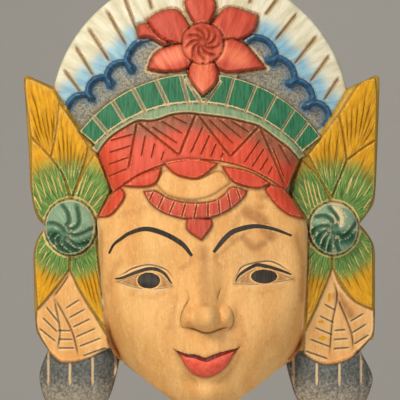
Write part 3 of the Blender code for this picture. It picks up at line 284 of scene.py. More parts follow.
class Relief:
    """Points of the drawing with their heights over the wall, how worn they are, how dark with dirt and
    painted shade, and how tinted.
    """

    def __init__(self, points: np.ndarray) -> None:
        """Start as the bare fan of the crown."""
        self.points = points
        self.u, self.v = points[:, 0], points[:, 1]
        self.height = crown_level(self.u, self.v)
        self.ground = self.height.copy()
        self.wear = np.zeros(len(points))
        self.dirt_and_shade = np.zeros(len(points))
        self.tint = np.zeros(len(points))
        self.root = np.tile(np.array(CROWN_CENTRE), (len(points), 1))

    def near(self, line: np.ndarray, margin: float) -> np.ndarray:
        """Numbers of the points close to a line."""
        low, high = line.min(0) - margin, line.max(0) + margin
        return np.flatnonzero(np.all((self.points > low) & (self.points < high), axis=1))

    def soil_and_shade(self, i: np.ndarray, amount: np.ndarray) -> None:
        """Darken some points with dirt and painted shade."""
        self.dirt_and_shade[i] = np.maximum(self.dirt_and_shade[i], amount)

    def rub(self, i: np.ndarray, amount: np.ndarray) -> None:
        """Wear the paint off some points."""
        self.wear[i] = np.maximum(self.wear[i], amount)

    def strokes(self) -> np.ndarray:
        """Distances across and along the brush strokes, in metres.

        Strokes run out from their root, or straight up where there is none.
        """
        away = self.points - np.nan_to_num(self.root)
        out = np.hypot(away[:, 0], away[:, 1])
        turn = np.arctan2(away[:, 0], away[:, 1])
        fan = np.stack([turn * 40.0, out, np.zeros(len(out))], 1)
        plain = np.stack([self.u, self.v, np.zeros(len(out))], 1)
        return np.where(np.isnan(self.root[:, :1]), plain, fan) * 0.001

    def clean(self, i: np.ndarray) -> None:
        """Forget the wear, the darkening by dirt and painted shade, and the tint of what lies under a new
        shape.
        """
        self.wear[i] = 0
        self.dirt_and_shade[i] = 0
        self.tint[i] = 0


@dataclass
class Shape:
    """Something drawn on the block: rows for the mesh, a cut in the relief, and a coat of paint.

    Attributes:
        edge: its line or closed outline.
        coat: the paint inside it, or None where it leaves the paint as it is.
        wear: how much its high edge is rubbed, 0 to 1.
        dirt_and_shade: how dark its low edge is painted, for dirt and for painted shade, 0 to 1.
    """
    edge: np.ndarray
    coat: Optional[Coat] = None
    wear: float = 0.6
    dirt_and_shade: float = 0.6

    def rows(self) -> list[tuple[np.ndarray, bool]]:
        """Lines that the mesh follows, and whether each is closed."""
        return [(self.edge, True)]

    def carve(self, relief: Relief) -> None:
        """Cut the shape into a relief."""
        i = relief.near(self.edge, 1.0)
        relief.clean(i[inside(relief.points[i], self.edge)])

    def covers(self, points: np.ndarray) -> np.ndarray:
        """Whether points get this shape's coat."""
        return inside(points, self.edge)

    def depths(self, relief: Relief, margin: float) -> tuple[np.ndarray, np.ndarray]:
        """Numbers of the points in and near the outline, and how far inside it each is."""
        i = relief.near(self.edge, margin)
        return i, depth_inside(relief.points[i], self.edge)


@dataclass
class Bevelled(Shape):
    """A shape with a slope inside its outline.

    Attributes:
        bevel: width of the slope.
    """
    bevel: float = 1.2

    def rows(self) -> list[tuple[np.ndarray, bool]]:
        """The outline and the inner edge of its bevel."""
        return [(self.edge, True), (shrunk(self.edge, self.bevel), True)]

    def age(self, relief: Relief, i: np.ndarray, depth: np.ndarray) -> None:
        """Rub the upper edge, and darken the foot with dirt and painted shade."""
        if self.coat is not None:
            relief.clean(i[depth > 0])
        relief.rub(i, self.wear * np.exp(-((depth - self.bevel * 0.8) / 0.7) ** 2))
        # The dark at the foot is dirt and painted shade.
        relief.soil_and_shade(i, self.dirt_and_shade * np.exp(-((depth + 0.15) / 0.6) ** 2))


@dataclass
class Level(Bevelled):
    """A surface of its own inside an outline, over or under what is round it."""
    surface: Optional[Surface] = None

    def carve(self, relief: Relief) -> None:
        """Cut the shape into a relief."""
        i, depth = self.depths(relief, EDGE_MARGIN)
        top = self.surface(relief.u[i], relief.v[i])
        relief.height[i] += (top - relief.height[i]) * smooth(depth / self.bevel)
        relief.root[i[depth > 0]] = np.nan
        self.age(relief, i, depth)


@dataclass
class Boss(Bevelled):
    """A shape raised from what is under it, or sunk where its rise is negative, with a domed top.

    Attributes:
        rise: height of its bevel.
        crown, crown_width: how much higher it rounds up inside the bevel, and over which width.
        dome: height of a round dome over the whole of it.
    """
    rise: float = 1.0
    crown: float = 0.0
    crown_width: float = 6.0
    dome: float = 0.0

    def lift(self, points: np.ndarray, depth: np.ndarray) -> np.ndarray:
        """How far points stand over the ground of the shape."""
        middle = (self.edge.max(0) + self.edge.min(0)) / 2
        half = (self.edge.max(0) - self.edge.min(0)) / 2
        out = np.linalg.norm((points - middle) / half, axis=1)
        return (self.rise * smooth(depth / self.bevel) + self.crown * quarter(depth / self.crown_width)
                + self.dome * np.sqrt(np.clip(1 - out * out, 0, 1)) * (depth > 0))

    def carve(self, relief: Relief) -> None:
        """Cut the shape into a relief."""
        i, depth = self.depths(relief, EDGE_MARGIN)
        relief.height[i] += self.lift(relief.points[i], depth)
        self.age(relief, i, depth)


@dataclass
class Petal(Boss):
    """A boss that stands on a flat place, with a cut round it and bare wood beside the cut.

    Attributes:
        cut: depth of the cut.
        halo: how bare the wood beside it is, 0 to 1.
    """
    cut: float = 0.9
    halo: float = 0.5

    def carve(self, relief: Relief) -> None:
        """Cut the shape into a relief."""
        i, depth = self.depths(relief, EDGE_MARGIN + 1.0)
        within = depth > 0
        flat = np.column_stack([relief.points[i], np.ones(len(i))])
        slope = np.linalg.lstsq(flat[within], relief.ground[i][within], rcond=None)[0]
        under = relief.height[i] - self.cut * np.where(depth < 0, np.exp(-depth ** 2), 1 + 2.5 * depth)
        over = np.where(within, flat @ slope + self.lift(relief.points[i], depth), -1e3)
        relief.height[i] = np.maximum(under, over)
        self.age(relief, i, depth)
        relief.rub(i, self.halo * np.exp(-((depth + 0.95) / 0.65) ** 4))


@dataclass
class Line(Shape):
    """Something that runs along a line.

    Attributes:
        width: how wide it is.
    """
    width: float = 1.8

    def rows(self) -> list[tuple[np.ndarray, bool]]:
        """The line itself and the two sides of its width."""
        side = normals(self.edge, False) * self.width / 2
        return [(self.edge, False), (self.edge + side, False), (self.edge - side, False)]

    def across(self, relief: Relief) -> tuple[np.ndarray, np.ndarray, np.ndarray]:
        """Numbers of the points near the line, how far across half its width each is, and how far along."""
        i = relief.near(self.edge, self.width)
        gap, share = distance(relief.points[i], self.edge, False)
        return i, 2 * gap / self.width, share

    def covers(self, points: np.ndarray) -> np.ndarray:
        """Whether points get this shape's coat."""
        return distance(points, self.edge, False)[0] < self.width / 2


@dataclass
class Groove(Line):
    """A V cut along a line, shallower at its ends.

    Attributes:
        depth: how deep it is.
        taper: the share of the line over which each end gets shallower.
    """
    depth: float = 1.0
    taper: float = TAPER

    def rows(self) -> list[tuple[np.ndarray, bool]]:
        """The bottom of the cut and its two shoulders, which stop short of its ends."""
        bottom, *shoulders = super().rows()
        return [bottom] + [(row[1:-1], closed) for row, closed in shoulders]

    def carve(self, relief: Relief) -> None:
        """Cut the shape into a relief."""
        i, across, share = self.across(relief)
        fade = 0.15 + 0.85 * np.minimum(1, np.minimum(share, 1 - share) / self.taper)
        relief.height[i] -= self.depth * fade * np.clip(1 - across, 0, 1)
        self.mark(relief, i, across, fade)

    def mark(self, relief: Relief, i: np.ndarray, across: np.ndarray, fade: np.ndarray) -> None:
        """Darken the cut with dirt and painted shade, and rub its shoulders."""
        relief.soil_and_shade(i, self.dirt_and_shade * fade * np.clip(1.1 - across, 0, 1))
        relief.rub(i, self.wear * fade * np.exp(-((across - 1.2) / 0.45) ** 2))


@dataclass
class Vein(Groove):
    """A cut in a painted leaf: darkened with dirt and painted shade in the yellow, and rubbed pale in the
    green.
    """

    def mark(self, relief: Relief, i: np.ndarray, across: np.ndarray, fade: np.ndarray) -> None:
        """Darken the cut with dirt and painted shade where the leaf is yellow, and rub it where it is
        green.
        """
        green = relief.tint[i]
        relief.soil_and_shade(i, self.dirt_and_shade * fade * (1 - 0.85 * green) * np.clip(1.1 - across, 0, 1))
        relief.rub(i, self.wear * fade * green * np.clip(1.3 - across, 0, 1))


@dataclass
class Cord(Line):
    """A raised round cord along a line.

    Attributes:
        rise: how far it stands out.
    """
    rise: float = 2.4

    def carve(self, relief: Relief) -> None:
        """Cut the shape into a relief."""
        i, across, _ = self.across(relief)
        relief.clean(i[across < 1])
        relief.height[i] += self.rise * np.sqrt(np.clip(1 - across ** 2, 0, 1))
        # A dark line at the cord's foot: dirt and painted shade.
        relief.soil_and_shade(i, self.dirt_and_shade * np.exp(-((across - 1.05) / 0.25) ** 2))
        relief.rub(i, self.wear * np.exp(-(across / 0.35) ** 2))


class Guide(Shape):
    """A row of points that a rounded form needs, with no cut or paint of its own."""

    def rows(self) -> list[tuple[np.ndarray, bool]]:
        """Its one open line."""
        return [(self.edge, False)]

    def carve(self, relief: Relief) -> None:
        """A guide cuts nothing."""


class KeepGround(Shape):
    """Marks the height that the petals carved next stand on."""

    def __init__(self) -> None:
        """It has no line of its own."""
        super().__init__(np.zeros((0, 2)))

    def rows(self) -> list[tuple[np.ndarray, bool]]:
        """It adds nothing to the mesh."""
        return []

    def carve(self, relief: Relief) -> None:
        """Keep the heights carved so far."""
        relief.ground = relief.height.copy()


@dataclass
class Shade(Shape):
    """A coat's second colour brushed out from a line and fading. It is paint alone.

    Attributes:
        reach: how far it goes.
    """
    reach: float = 17.0

    def rows(self) -> list[tuple[np.ndarray, bool]]:
        """Paint alone needs no rows."""
        return []

    def gaps(self, relief: Relief) -> tuple[np.ndarray, np.ndarray]:
        """Numbers of the points within its reach, and how far from the line each is."""
        i = relief.near(self.edge, self.reach)
        return i, distance(relief.points[i], self.edge, False)[0]

    def carve(self, relief: Relief) -> None:
        """Tint what is round the line."""
        i, gap = self.gaps(relief)
        relief.tint[i] = np.maximum(relief.tint[i], 1 - smooth((gap - 2.0) / (self.reach - 2.0)))


@dataclass
class StainAndShade(Shade):
    """A patch that handling has browned or rubbed, or that is darkened as painted shade, strongest along
    its line. Its strength is the shape's value for dirt and painted shade.

    Attributes:
        rubbed: whether it is rubbed instead of browned.
    """
    rubbed: bool = False

    def carve(self, relief: Relief) -> None:
        """Rub or tint what is round the line."""
        i, gap = self.gaps(relief)
        amount = (1 - smooth(gap / self.reach)) * self.dirt_and_shade
        if self.rubbed:
            relief.wear[i] += amount
        else:
            relief.tint[i] = np.maximum(relief.tint[i], amount)


@dataclass
class Stroke(Shape):
    """A brush stroke along a line, thin at both ends. It lies flat on the wood.

    Attributes:
        width: how wide it is where it is broadest.
    """
    width: float = 1.5

    def __post_init__(self) -> None:
        """Turn the line into the outline of the paint."""
        line = self.edge
        side = normals(line, False) * self.half(np.linspace(0, 1, len(line)))[:, None]
        self.edge = np.concatenate([line + side, (line - side)[::-1]])

    def half(self, share: np.ndarray) -> np.ndarray:
        """Half the stroke's width at some shares of its length."""
        return self.width * 0.5 * (0.25 + 0.75 * np.sqrt(np.clip(np.sin(np.pi * share), 0, 1)))


@dataclass
class Brow(Stroke):
    """A brush stroke that is blunt at its inner end and thin at the outer one.

    Attributes:
        blunt_start: whether the inner end is the line's start.
    """
    blunt_start: bool = True

    def half(self, share: np.ndarray) -> np.ndarray:
        """Half the stroke's width at some shares of its length."""
        if not self.blunt_start:
            share = 1 - share
        return self.width * 0.5 * np.minimum(1.0, 0.62 + 2.2 * share) * np.clip(1.45 - share, 0.35, 1.0)


class Patch(Shape):
    """Paint inside an outline. It lies flat on the wood."""


# Levels over the wall, in drawing units

def crown_level(u: np.ndarray, v: np.ndarray) -> np.ndarray:
    """Level of the fan of the crown, rising towards its middle."""
    inward = CROWN_RADIUS - np.hypot(u - CROWN_CENTRE[0], v - CROWN_CENTRE[1])
    return CROWN_RIM + CROWN_SLOPE * np.clip(inward, 0, CROWN_SLOPE_WIDTH)


def wing_level(u: np.ndarray, v: np.ndarray) -> np.ndarray:
    """Level of the two leaf wings, falling away from the head."""
    outward = np.abs(u - WING_MIDDLE_U) - WING_SHOULDER
    return WING_TOP - WING_SLOPE * np.clip(outward, -WING_RISE_WIDTH, None)


def bare_leaf_level(u: np.ndarray, v: np.ndarray) -> np.ndarray:
    """Level of the unpainted leaves under the rosettes."""
    return wing_level(u, v) - BARE_LEAF_STEP - BARE_LEAF_SLOPE * np.clip(BARE_LEAF_V - v, 0, 40)


def band_level(u: np.ndarray, v: np.ndarray) -> np.ndarray:
    """Level of the green band, bent to the sides and tilted a little outward."""
    out = np.hypot(u - BAND_CENTRE[0], v - BAND_CENTRE[1]) - BAND_RADIUS
    return BAND_TOP - BAND_BEND * u * u - BAND_TILT * out


def lip_level(u: np.ndarray, v: np.ndarray) -> np.ndarray:
    """Level of the pale lip between the band and the kerchief."""
    return np.maximum(head_level(u, v) + LIP_OVER_HEAD, band_level(u, v) - LIP_UNDER_BAND)


def head_level(u: np.ndarray, v: np.ndarray) -> np.ndarray:
    """The round of the head: a flat dome that falls off to its sides and down to the jaw."""
    x = u - FACE_U
    above = np.clip(v - 60.0, 0, None)
    dome = HEAD_TOP - 0.0030 * x * x - 0.0011 * v * v - 0.0030 * above * above
    depth = np.clip(depth_inside(np.stack([u, v], 1), HEAD), 0, None)
    low = smooth((0.0 - v) / 55.0)
    high = smooth((v - 58.0) / 22.0)
    side_drop = (9.0 - 6.5 * high) * (1.0 - 0.75 * low)
    side = side_drop * (1 - quarter(depth / (12.0 - 4.0 * high)))
    out = np.hypot(x / FACE_HALF_WIDTH, np.minimum(v - FACE_MIDDLE_V, 0) / FACE_LENGTH_BELOW)
    jaw = JAW_DROP * low * (1 - quarter((1.02 - out) / 0.50))
    return dome - side - jaw


def brow_height(u: np.ndarray) -> np.ndarray:
    """Height of the upper edge of the eye sockets."""
    x = np.abs(u - 1.5)
    return 9.0 + 15.5 * smooth((x - 2.0) / 26.0) - 7.0 * smooth((x - 30.0) / 24.0)


@dataclass(frozen=True)
class Nose:
    """The nose: a soft ridge that ends in a ball between two wings, turned under below.

    Attributes:
        top, tip, turn, foot: how high in the drawing it starts, is highest, turns under and ends.
        ridge_half, ridge_spread: half the width of the ridge at its top, and how much more at the tip.
        ridge_low, ridge_rise: how far the ridge stands out at its top, and how much more at the tip.
        ball_rise, ball_at, ball_size: height, place from the tip and half sizes of the ball.
        wing_rise, wing_at, wing_size: the same of a wing, its place from the middle of the face.
    """
    top: float = 9.0
    tip: float = -27.0
    turn: float = -18.0
    foot: float = -31.9
    ridge_half: float = 5.2
    ridge_spread: float = 2.6
    ridge_low: float = 1.2
    ridge_rise: float = 8.0
    ball_rise: float = 5.2
    ball_at: Point = (-0.8, 3.4)
    ball_size: Point = (8.2, 8.0)
    wing_rise: float = 6.8
    wing_at: Point = (10.2, -24.6)
    wing_size: Point = (4.3, 6.8)

    def under(self, x: np.ndarray) -> np.ndarray:
        """Its lower edge, highest at the wings."""
        return self.foot + 2.8 * smooth(np.abs(x) / 11.0)

    def height(self, x: np.ndarray, v: np.ndarray) -> np.ndarray:
        """How far it stands out of the face."""
        t = np.clip((self.top - v) / (self.top - self.tip), 0, 1)
        half = self.ridge_half + self.ridge_spread * t
        ridge = ((self.ridge_low + self.ridge_rise * t ** 1.1) * np.exp(-np.abs(x / half) ** 2.4)
                 * smooth((self.top + 10.0 - v) / 14.0))
        out = (x - self.ball_at[0]) / self.ball_size[0]
        up = (v - self.tip - self.ball_at[1]) / self.ball_size[1]
        ball = self.ball_rise * np.sqrt(np.clip(1 - out ** 2 - up ** 2, 0, 1))
        wing = self.wing_rise * np.exp(-np.abs((np.abs(x) - self.wing_at[0]) / self.wing_size[0]) ** 2.6
                                       - np.abs((v - self.wing_at[1]) / self.wing_size[1]) ** 2.6)
        body = np.maximum(ridge + ball, wing) + 0.25 * np.minimum(ridge + ball, wing)
        turned = np.clip((self.turn - v) / (self.turn - self.under(x)), 0, 1)
        return body * np.sqrt(1 - turned ** 2.6)

    def guides(self) -> list[Shape]:
        """Rows along its foot, where it is steep."""
        x = np.arange(-15.0, 15.1, 0.75)
        return [Guide(np.stack([FACE_U + x, self.under(x) + up], 1)) for up in (-0.2, 0.5, 1.2, 2.2)]

    def lower_cut(self) -> np.ndarray:
        """The line of the cut under it."""
        x = np.linspace(-12.5, 12.5, 30)
        return np.stack([FACE_U + x, self.under(x) - 0.1], 1)


@dataclass(frozen=True)
class Swell:
    """A soft round swelling of the face, or a dip where its rise is negative.

    Attributes:
        rise: its height in the middle.
        place: where it is from its origin, outward and up.
        size: how far it spreads sideways and up and down.
    """
    rise: float
    place: Point
    size: Point

    def at(self, u: np.ndarray, v: np.ndarray, origin: Point, side: float = 1.0) -> np.ndarray:
        """Its height at some points. Outward is to the left where the side is -1."""
        x = (u - (origin[0] + side * self.place[0])) / self.size[0]
        y = (v - (origin[1] + self.place[1])) / self.size[1]
        return self.rise * np.exp(-x ** 2 - y ** 2)


NOSE = Nose()
SOCKET, EYEBALL = Swell(-3.2, (-3.0, 3.5), (17.0, 10.0)), Swell(2.6, (0.0, -1.0), (13.5, 7.0))
CHEEK, FOREHEAD = Swell(1.8, (29.0, -30.0), (15.0, 15.0)), Swell(1.0, (0.0, 30.0), (60.0, 36.0))
# The mouth's round, the chin, the fold between them and the dent over the lip
MIDDLE_SWELLS = (Swell(3.4, (0.0, -46.0), (15.0, 12.0)), Swell(3.4, (0.0, -68.0), (11.0, 7.5)),
                 Swell(-1.3, (0.0, -59.5), (13.0, 3.6)), Swell(-0.8, (0.0, -36.5), (2.2, 4.0)))


def face_level(u: np.ndarray, v: np.ndarray) -> np.ndarray:
    """Level of the face, with its sockets, cheeks, mouth and chin."""
    height = head_level(u, v) + NOSE.height(u - FACE_U, v)
    for eye in EYES:
        side = math.copysign(1.0, eye.middle[0])
        height += SOCKET.at(u, v, eye.middle, side)
        height += EYEBALL.at(u, v, eye.middle, side)
        height += CHEEK.at(u, v, (FACE_U, 0.0), side)
    for swell in MIDDLE_SWELLS:
        height += swell.at(u, v, (FACE_U, 0.0))
    height += BROW_EDGE * smooth((v - brow_height(u) + 2.0) / 4.0) * FOREHEAD.at(u, v, (0.0, 0.0))
    return height


@dataclass
class Pendant:
    """A fluted bell that hangs under a wing.

    Attributes:
        edge: points of its outline, open at the top.
        middle_u: where its middle is.
        half_width: half its width.
        top_v: where it meets the bare leaf.
        low_v: its lowest place.
        ridge_u: where one of the ridges between its flutes is.
        corner: its upper corner beside the jaw.
        flute: the width of a flute.
        straight: how far down it goes before it rounds in.
        rim, bulge: its level at its edge, and how much higher its middle is.
        ridge_rise, ridge_width: how far a ridge stands out, and half its width.
    """
    edge: list[Point]
    middle_u: float
    half_width: float
    top_v: float
    low_v: float
    ridge_u: float
    corner: Point
    flute: float = 12.6
    straight: float = 20.0
    rim: float = 7.5
    bulge: float = 16.5
    ridge_rise: float = 0.8
    ridge_width: float = 1.5

    def rounding(self, v: np.ndarray) -> np.ndarray:
        """How far down the part that rounds in a place is, 0 to 1."""
        start = self.top_v - self.straight
        return np.clip((start - v) / (start - self.low_v), 0, 1)

    def level(self, u: np.ndarray, v: np.ndarray) -> np.ndarray:
        """Its surface over the wall."""
        x, y = (u - self.middle_u) / self.half_width, self.rounding(v)
        height = self.rim + self.bulge * np.sqrt(np.clip(1 - 0.92 * (x * x + y * y), 0, 1))
        return height - self.ridge_rise * self.ridge(u, v, self.ridge_width)

    def ridge(self, u: np.ndarray, v: np.ndarray, width: float) -> np.ndarray:
        """How near the closest line between two flutes a place is: 1 on it, 0 a width away."""
        y = self.rounding(v)
        spread = np.sqrt(1 - 0.75 * y * y)
        turned = (u - self.middle_u) / spread - (self.ridge_u - self.middle_u)
        across = np.abs((turned / self.flute) % 1 - 0.5) * self.flute
        return np.clip(1 - (self.flute / 2 - across) / width, 0, 1)


@dataclass
class Bell(Level):
    """A bell's level, with the lines between its flutes rubbed pale and its lower part worn.

    Attributes:
        pendant: the bell's form.
        pale_width: half the width of a pale line.
    """
    pendant: Optional[Pendant] = None
    pale_width: float = 1.3

    def carve(self, relief: Relief) -> None:
        """Cut the shape into a relief."""
        super().carve(relief)
        i, depth = self.depths(relief, 0.0)
        u, v = relief.u[i], relief.v[i]
        below = self.pendant.top_v - v
        pale = 0.85 * self.pendant.ridge(u, v, self.pale_width) * (1 - smooth((below - 16.0) / 8.0))
        amount = np.maximum(pale, 0.24 * smooth((below - 2.0) / 26.0))
        relief.rub(i, np.where(depth > 0, amount, 0))
        relief.tint[i] = np.where(depth > 0, smooth((below - 8.0) / 26.0), relief.tint[i])


@dataclass
class Leaf(Boss):
    """A painted leaf, green by its rosette and yellow outward.

    Attributes:
        root: the middle of its rosette.
        green: how far from the root it starts to turn yellow, and where it is all yellow.
    """
    root: Point = (0.0, 0.0)
    green: tuple[float, float] = (20.0, 42.0)

    def carve(self, relief: Relief) -> None:
        """Cut the shape into a relief."""
        super().carve(relief)
        i, depth = self.depths(relief, 0.0)
        out = np.hypot(relief.u[i] - self.root[0], relief.v[i] - self.root[1])
        share = 1 - smooth((out - self.green[0]) / (self.green[1] - self.green[0]))
        relief.tint[i] = np.where(depth > 0, share, relief.tint[i])
        relief.root[i[depth > 0]] = self.root


@dataclass
class Eye:
    """An eye: the crease over the lid, the painted line, the lid's edge, the lower edge and the pupil."""
    crease: list[Point]
    line: list[Point]
    lid: list[Point]
    low: list[Point]
    middle: Point
    pupil: tuple[float, float]


# The outline of the whole mask

RIGHT_WING_SIDE = [(89.5, 27.3), (94.1, 33.3), (97.4, 38.7), (98.6, 45.6), (99.4, 62.1), (100.8, 100.8),
                   (100.8, 110.0)]
LEFT_WING_SIDE = [(-101.2, 108.8), (-98.4, 67.8), (-97.4, 47.3), (-94.3, 32.5), (-88.9, 25.6)]
LEFT_LOW_SIDE = [(-88.9, 25.6), (-93.4, 19.3), (-95.6, 10.8), (-95.6, -1.7), (-94.6, -29.7), (-92.3, -37.1),
                 (-87.5, -44.5)]
RIGHT_LOW_SIDE = [(90.1, -45.1), (94.9, -39.4), (98.0, -33.7), (98.4, -0.0), (98.0, 13.6), (94.3, 21.6),
                  (89.5, 27.3)]
JAW = [(-47.1, -49.9), (-34.4, -59.9), (-24.1, -67.7), (-12.7, -75.4), (0.6, -79.3), (13.9, -75.7),
       (25.5, -69.0), (38.3, -59.3), (48.2, -52.1)]
LEFT_BELL = [(-87.5, -44.5), (-92.0, -56.5), (-91.7, -65.0), (-88.3, -74.1), (-80.9, -81.5), (-70.6, -84.7),
             (-60.4, -81.3), (-53.8, -73.6), (-50.4, -64.4), (-47.1, -49.9)]
RIGHT_BELL = [(48.2, -52.1), (51.3, -64.4), (55.0, -74.1), (62.7, -81.5), (73.6, -85.0), (84.4, -81.8),
              (92.4, -74.1), (95.8, -66.7), (96.8, -58.7), (90.1, -45.1)]
LEFT_CHEEK = [(-50.9, 45.5), (-59.1, 30.2), (-58.8, 20.6), (-56.6, -9.9), (-54.9, -25.8), (-52.6, -39.4),
              (-47.1, -49.9)]
RIGHT_CHEEK = [(48.2, -52.1), (56.3, -41.6), (57.5, -29.2), (59.2, 1.4), (59.5, 16.4), (58.6, 29.1),
               (48.1, 46.1)]
LEFT_WING_TIP = [(-101.2, 108.8), (-100.7, 111.1), (-99.1, 111.8)]
RIGHT_WING_TIP = [(100.8, 110.0), (100.1, 111.5), (98.4, 111.9)]
CROWN_LEFT = on_circle(CROWN_CENTRE, CROWN_RADIUS, CROWN_LEFT_END)
CROWN_RIGHT = on_circle(CROWN_CENTRE, CROWN_RADIUS, CROWN_RIGHT_END)


def whole_outline() -> np.ndarray:
    """The mask's outline, from the right wing up and round."""
    crown = arc(CROWN_CENTRE, CROWN_RADIUS, CROWN_RIGHT_END, CROWN_LEFT_END)
    return outline(RIGHT_WING_SIDE, RIGHT_WING_TIP, [RIGHT_WING_TIP[-1], crown[0]], crown,
                   [crown[-1], LEFT_WING_TIP[-1]], LEFT_WING_TIP[::-1], LEFT_WING_SIDE, LEFT_LOW_SIDE,
                   LEFT_BELL, JAW, RIGHT_BELL, RIGHT_LOW_SIDE)


def head_outline() -> np.ndarray:
    """The head with its band, kerchief and jaw."""
    top = arc(BAND_CENTRE, BAND_RADIUS, bearing((66.0, 79.9), BAND_CENTRE),
              bearing((-67.6, 82.1), BAND_CENTRE))
    return outline(top, [top[-1], (-59.2, 68.4), LEFT_CHEEK[0]], LEFT_CHEEK, JAW, RIGHT_CHEEK,
                   [RIGHT_CHEEK[-1], (55.9, 64.5), top[0]], step=HEAD_STEP)


def ring(outer: tuple[Point, float], inner: tuple[Point, float], right: Point, left: Point) -> np.ndarray:
    """The outline between two arcs that end at the same sides."""
    over = arc(*outer, bearing(right, outer[0]), bearing(left, outer[0]))
    under = arc(*inner, bearing(left, inner[0]), bearing(right, inner[0]))
    return outline(over, [over[-1], under[0]], under, [under[-1], over[0]])


def between(first: tuple[Point, Point], last: tuple[Point, Point], step: float) -> list[np.ndarray]:
    """Straight lines spread evenly from a first to a last one, about a step apart."""
    start, end = np.array(first), np.array(last)
    gaps = max(1, round(np.linalg.norm((end - start).mean(0)) / step))
    return [straight(*(start + (end - start) * k / gaps)) for k in range(gaps + 1)]


# The crown: rays, scallops and the flower

RAYS = [((-78.8, 115.8), (-66.6, 99.5)), ((-72.7, 129.6), (-60.6, 110.2)), ((-65.1, 139.7), (-51.4, 118.3)),
        ((-56.0, 151.5), (-42.1, 127.5)), ((-46.1, 160.1), (-36.1, 135.6)),
        ((-33.6, 166.4), (-27.9, 148.2)), ((-20.5, 169.8), (-18.2, 156.1)), ((-6.8, 171.5), (-6.2, 163.0)),
        ((6.9, 171.0), (5.7, 161.8)), ((20.0, 168.7), (16.6, 156.7)), ((32.5, 164.7), (26.3, 151.6)),
        ((44.5, 157.8), (35.4, 145.3)), ((55.5, 148.9), (40.7, 130.5)), ((67.2, 136.2), (51.3, 116.8)),
        ((73.8, 124.4), (60.5, 107.1)), ((79.3, 111.7), (68.7, 97.0))]
SCALLOPS = {
    "left": [((-73.8, 84.9), (-62.1, 98.9), 0.46), ((-62.9, 98.6), (-50.7, 107.4), 0.48),
             ((-52.1, 105.7), (-38.7, 115.4), 0.50), ((-40.1, 114.0), (-22.8, 129.9), 0.40)],
    "right": [((25.1, 130.5), (39.9, 118.2), 0.40), ((37.1, 119.4), (50.2, 106.0), 0.40),
              ((48.8, 106.8), (60.2, 94.0), 0.42), ((58.2, 93.7), (70.2, 83.8), 0.46)],
}
KNOB, KNOB_RADIUS = (0.5, 128.8), 12.0
PETALS = [
    ([(-20.1, 127.1), (-29.1, 132.1), (-35.8, 132.7), (-36.0, 140.5)],
     [(-36.0, 140.5), (-29.1, 140.5), (-15.1, 134.4)]),
    ([(-2.2, 136.0), (-8.9, 148.3), (-8.9, 155.0), (-1.7, 160.1)],
     [(-1.7, 160.1), (6.7, 155.0), (7.8, 148.3), (2.3, 136.0)]),
    ([(-6.7, 127.6), (-19.5, 129.9), (-26.8, 135.5), (-31.6, 143.0)],
     [(-31.6, 143.0), (-23.5, 147.8), (-14.5, 148.9), (-8.9, 143.3), (-3.9, 133.8)]),
    ([(2.3, 134.9), (8.4, 145.0), (16.2, 150.3), (31.9, 145.8)],
     [(31.9, 145.8), (30.2, 137.7), (24.6, 132.4), (16.2, 129.9), (6.7, 128.2)]),
    ([(-3.3, 121.5), (-8.9, 114.2), (-20.1, 112.6), (-30.7, 114.2)],
     [(-30.7, 114.2), (-27.9, 122.1), (-21.8, 126.8), (-12.3, 129.0), (-4.5, 128.2)]),
    ([(5.0, 128.8), (13.4, 131.6), (24.1, 129.3), (36.4, 115.3)],
     [(36.4, 115.3), (23.5, 113.1), (11.2, 112.8), (3.4, 121.5)]),
    ([(-3.3, 122.6), (-7.8, 113.7), (-6.1, 106.4), (0.6, 98.6)],
     [(0.6, 98.6), (7.8, 105.8), (9.0, 113.7), (4.5, 122.6)]),
]

# Where the petals' paint has faded, and how much
FADED_PETALS = [([(0.6, 117.0), (0.6, 109.2), (0.6, 103.6)], 1.0), ([(12.3, 123.7), (22.4, 120.4)], 0.8),
                ([(-22.3, 119.3), (-11.2, 123.7)], 0.8)]


def ray_top(point: Point) -> Point:
    """The upper end of a ray, just inside the crown's edge."""
    return on_circle(CROWN_CENTRE, CROWN_RADIUS - RAY_MARGIN, bearing(point, CROWN_CENTRE))


def scallop(start: Point, end: Point, bulge: float) -> np.ndarray:
    """An arc between two points that stands out by a share of its span."""
    start, end = np.array(start), np.array(end)
    middle, span = (start + end) / 2, end - start
    out = np.array([-span[1], span[0]]) * bulge
    return curve([middle - np.cos(a) * span / 2 + np.sin(a) * out for a in np.linspace(0, math.pi, 7)])


def pocket(scallops: list[tuple[Point, Point, float]]) -> np.ndarray:
    """The sunk ground between a row of scallops and the band."""
    over = [point for each in scallops for point in scallop(*each)[::4]]
    right, left = bearing(over[-1], BAND_CENTRE), bearing(over[0], BAND_CENTRE)
    under = arc(BAND_CENTRE, BAND_RADIUS - 2.0, right, left)
    return outline(over, [over[-1], under[0]], under, [under[-1], over[0]])


@dataclass
class Crown:
    """The white fan with its rays, the blue scallops and the grey ground inside them.

    Attributes:
        ray_width: width of a ray's cut.
        cord_width: width of a scallop's cord.
        pocket_depth: how far the ground inside the scallops is sunk.
        ground_blue: how far the blue reaches over that ground from the cords.
    """
    ray_width: float = 1.9
    cord_width: float = 3.8
    pocket_depth: float = 1.4
    ground_blue: float = 6.0

    def shapes(self) -> list[Shape]:
        """Its shapes, in the order they are cut."""
        made: list[Shape] = []
        for row in SCALLOPS.values():
            made += [Shade(scallop(*each)) for each in row]
        made += [Groove(straight(ray_top(over), under), width=self.ray_width, depth=1.1, wear=0.7,
                        dirt_and_shade=0.95, taper=0.12) for over, under in RAYS]
        for row in SCALLOPS.values():
            made.append(Boss(pocket(row), Coat.GROUND, rise=-self.pocket_depth, bevel=0.8, wear=0.0,
                             dirt_and_shade=0.9))
            made += [Shade(scallop(*each), reach=self.ground_blue) for each in row]
            made += [Cord(scallop(*each), Coat.BLUE, width=self.cord_width, wear=0.4) for each in row]
        return made


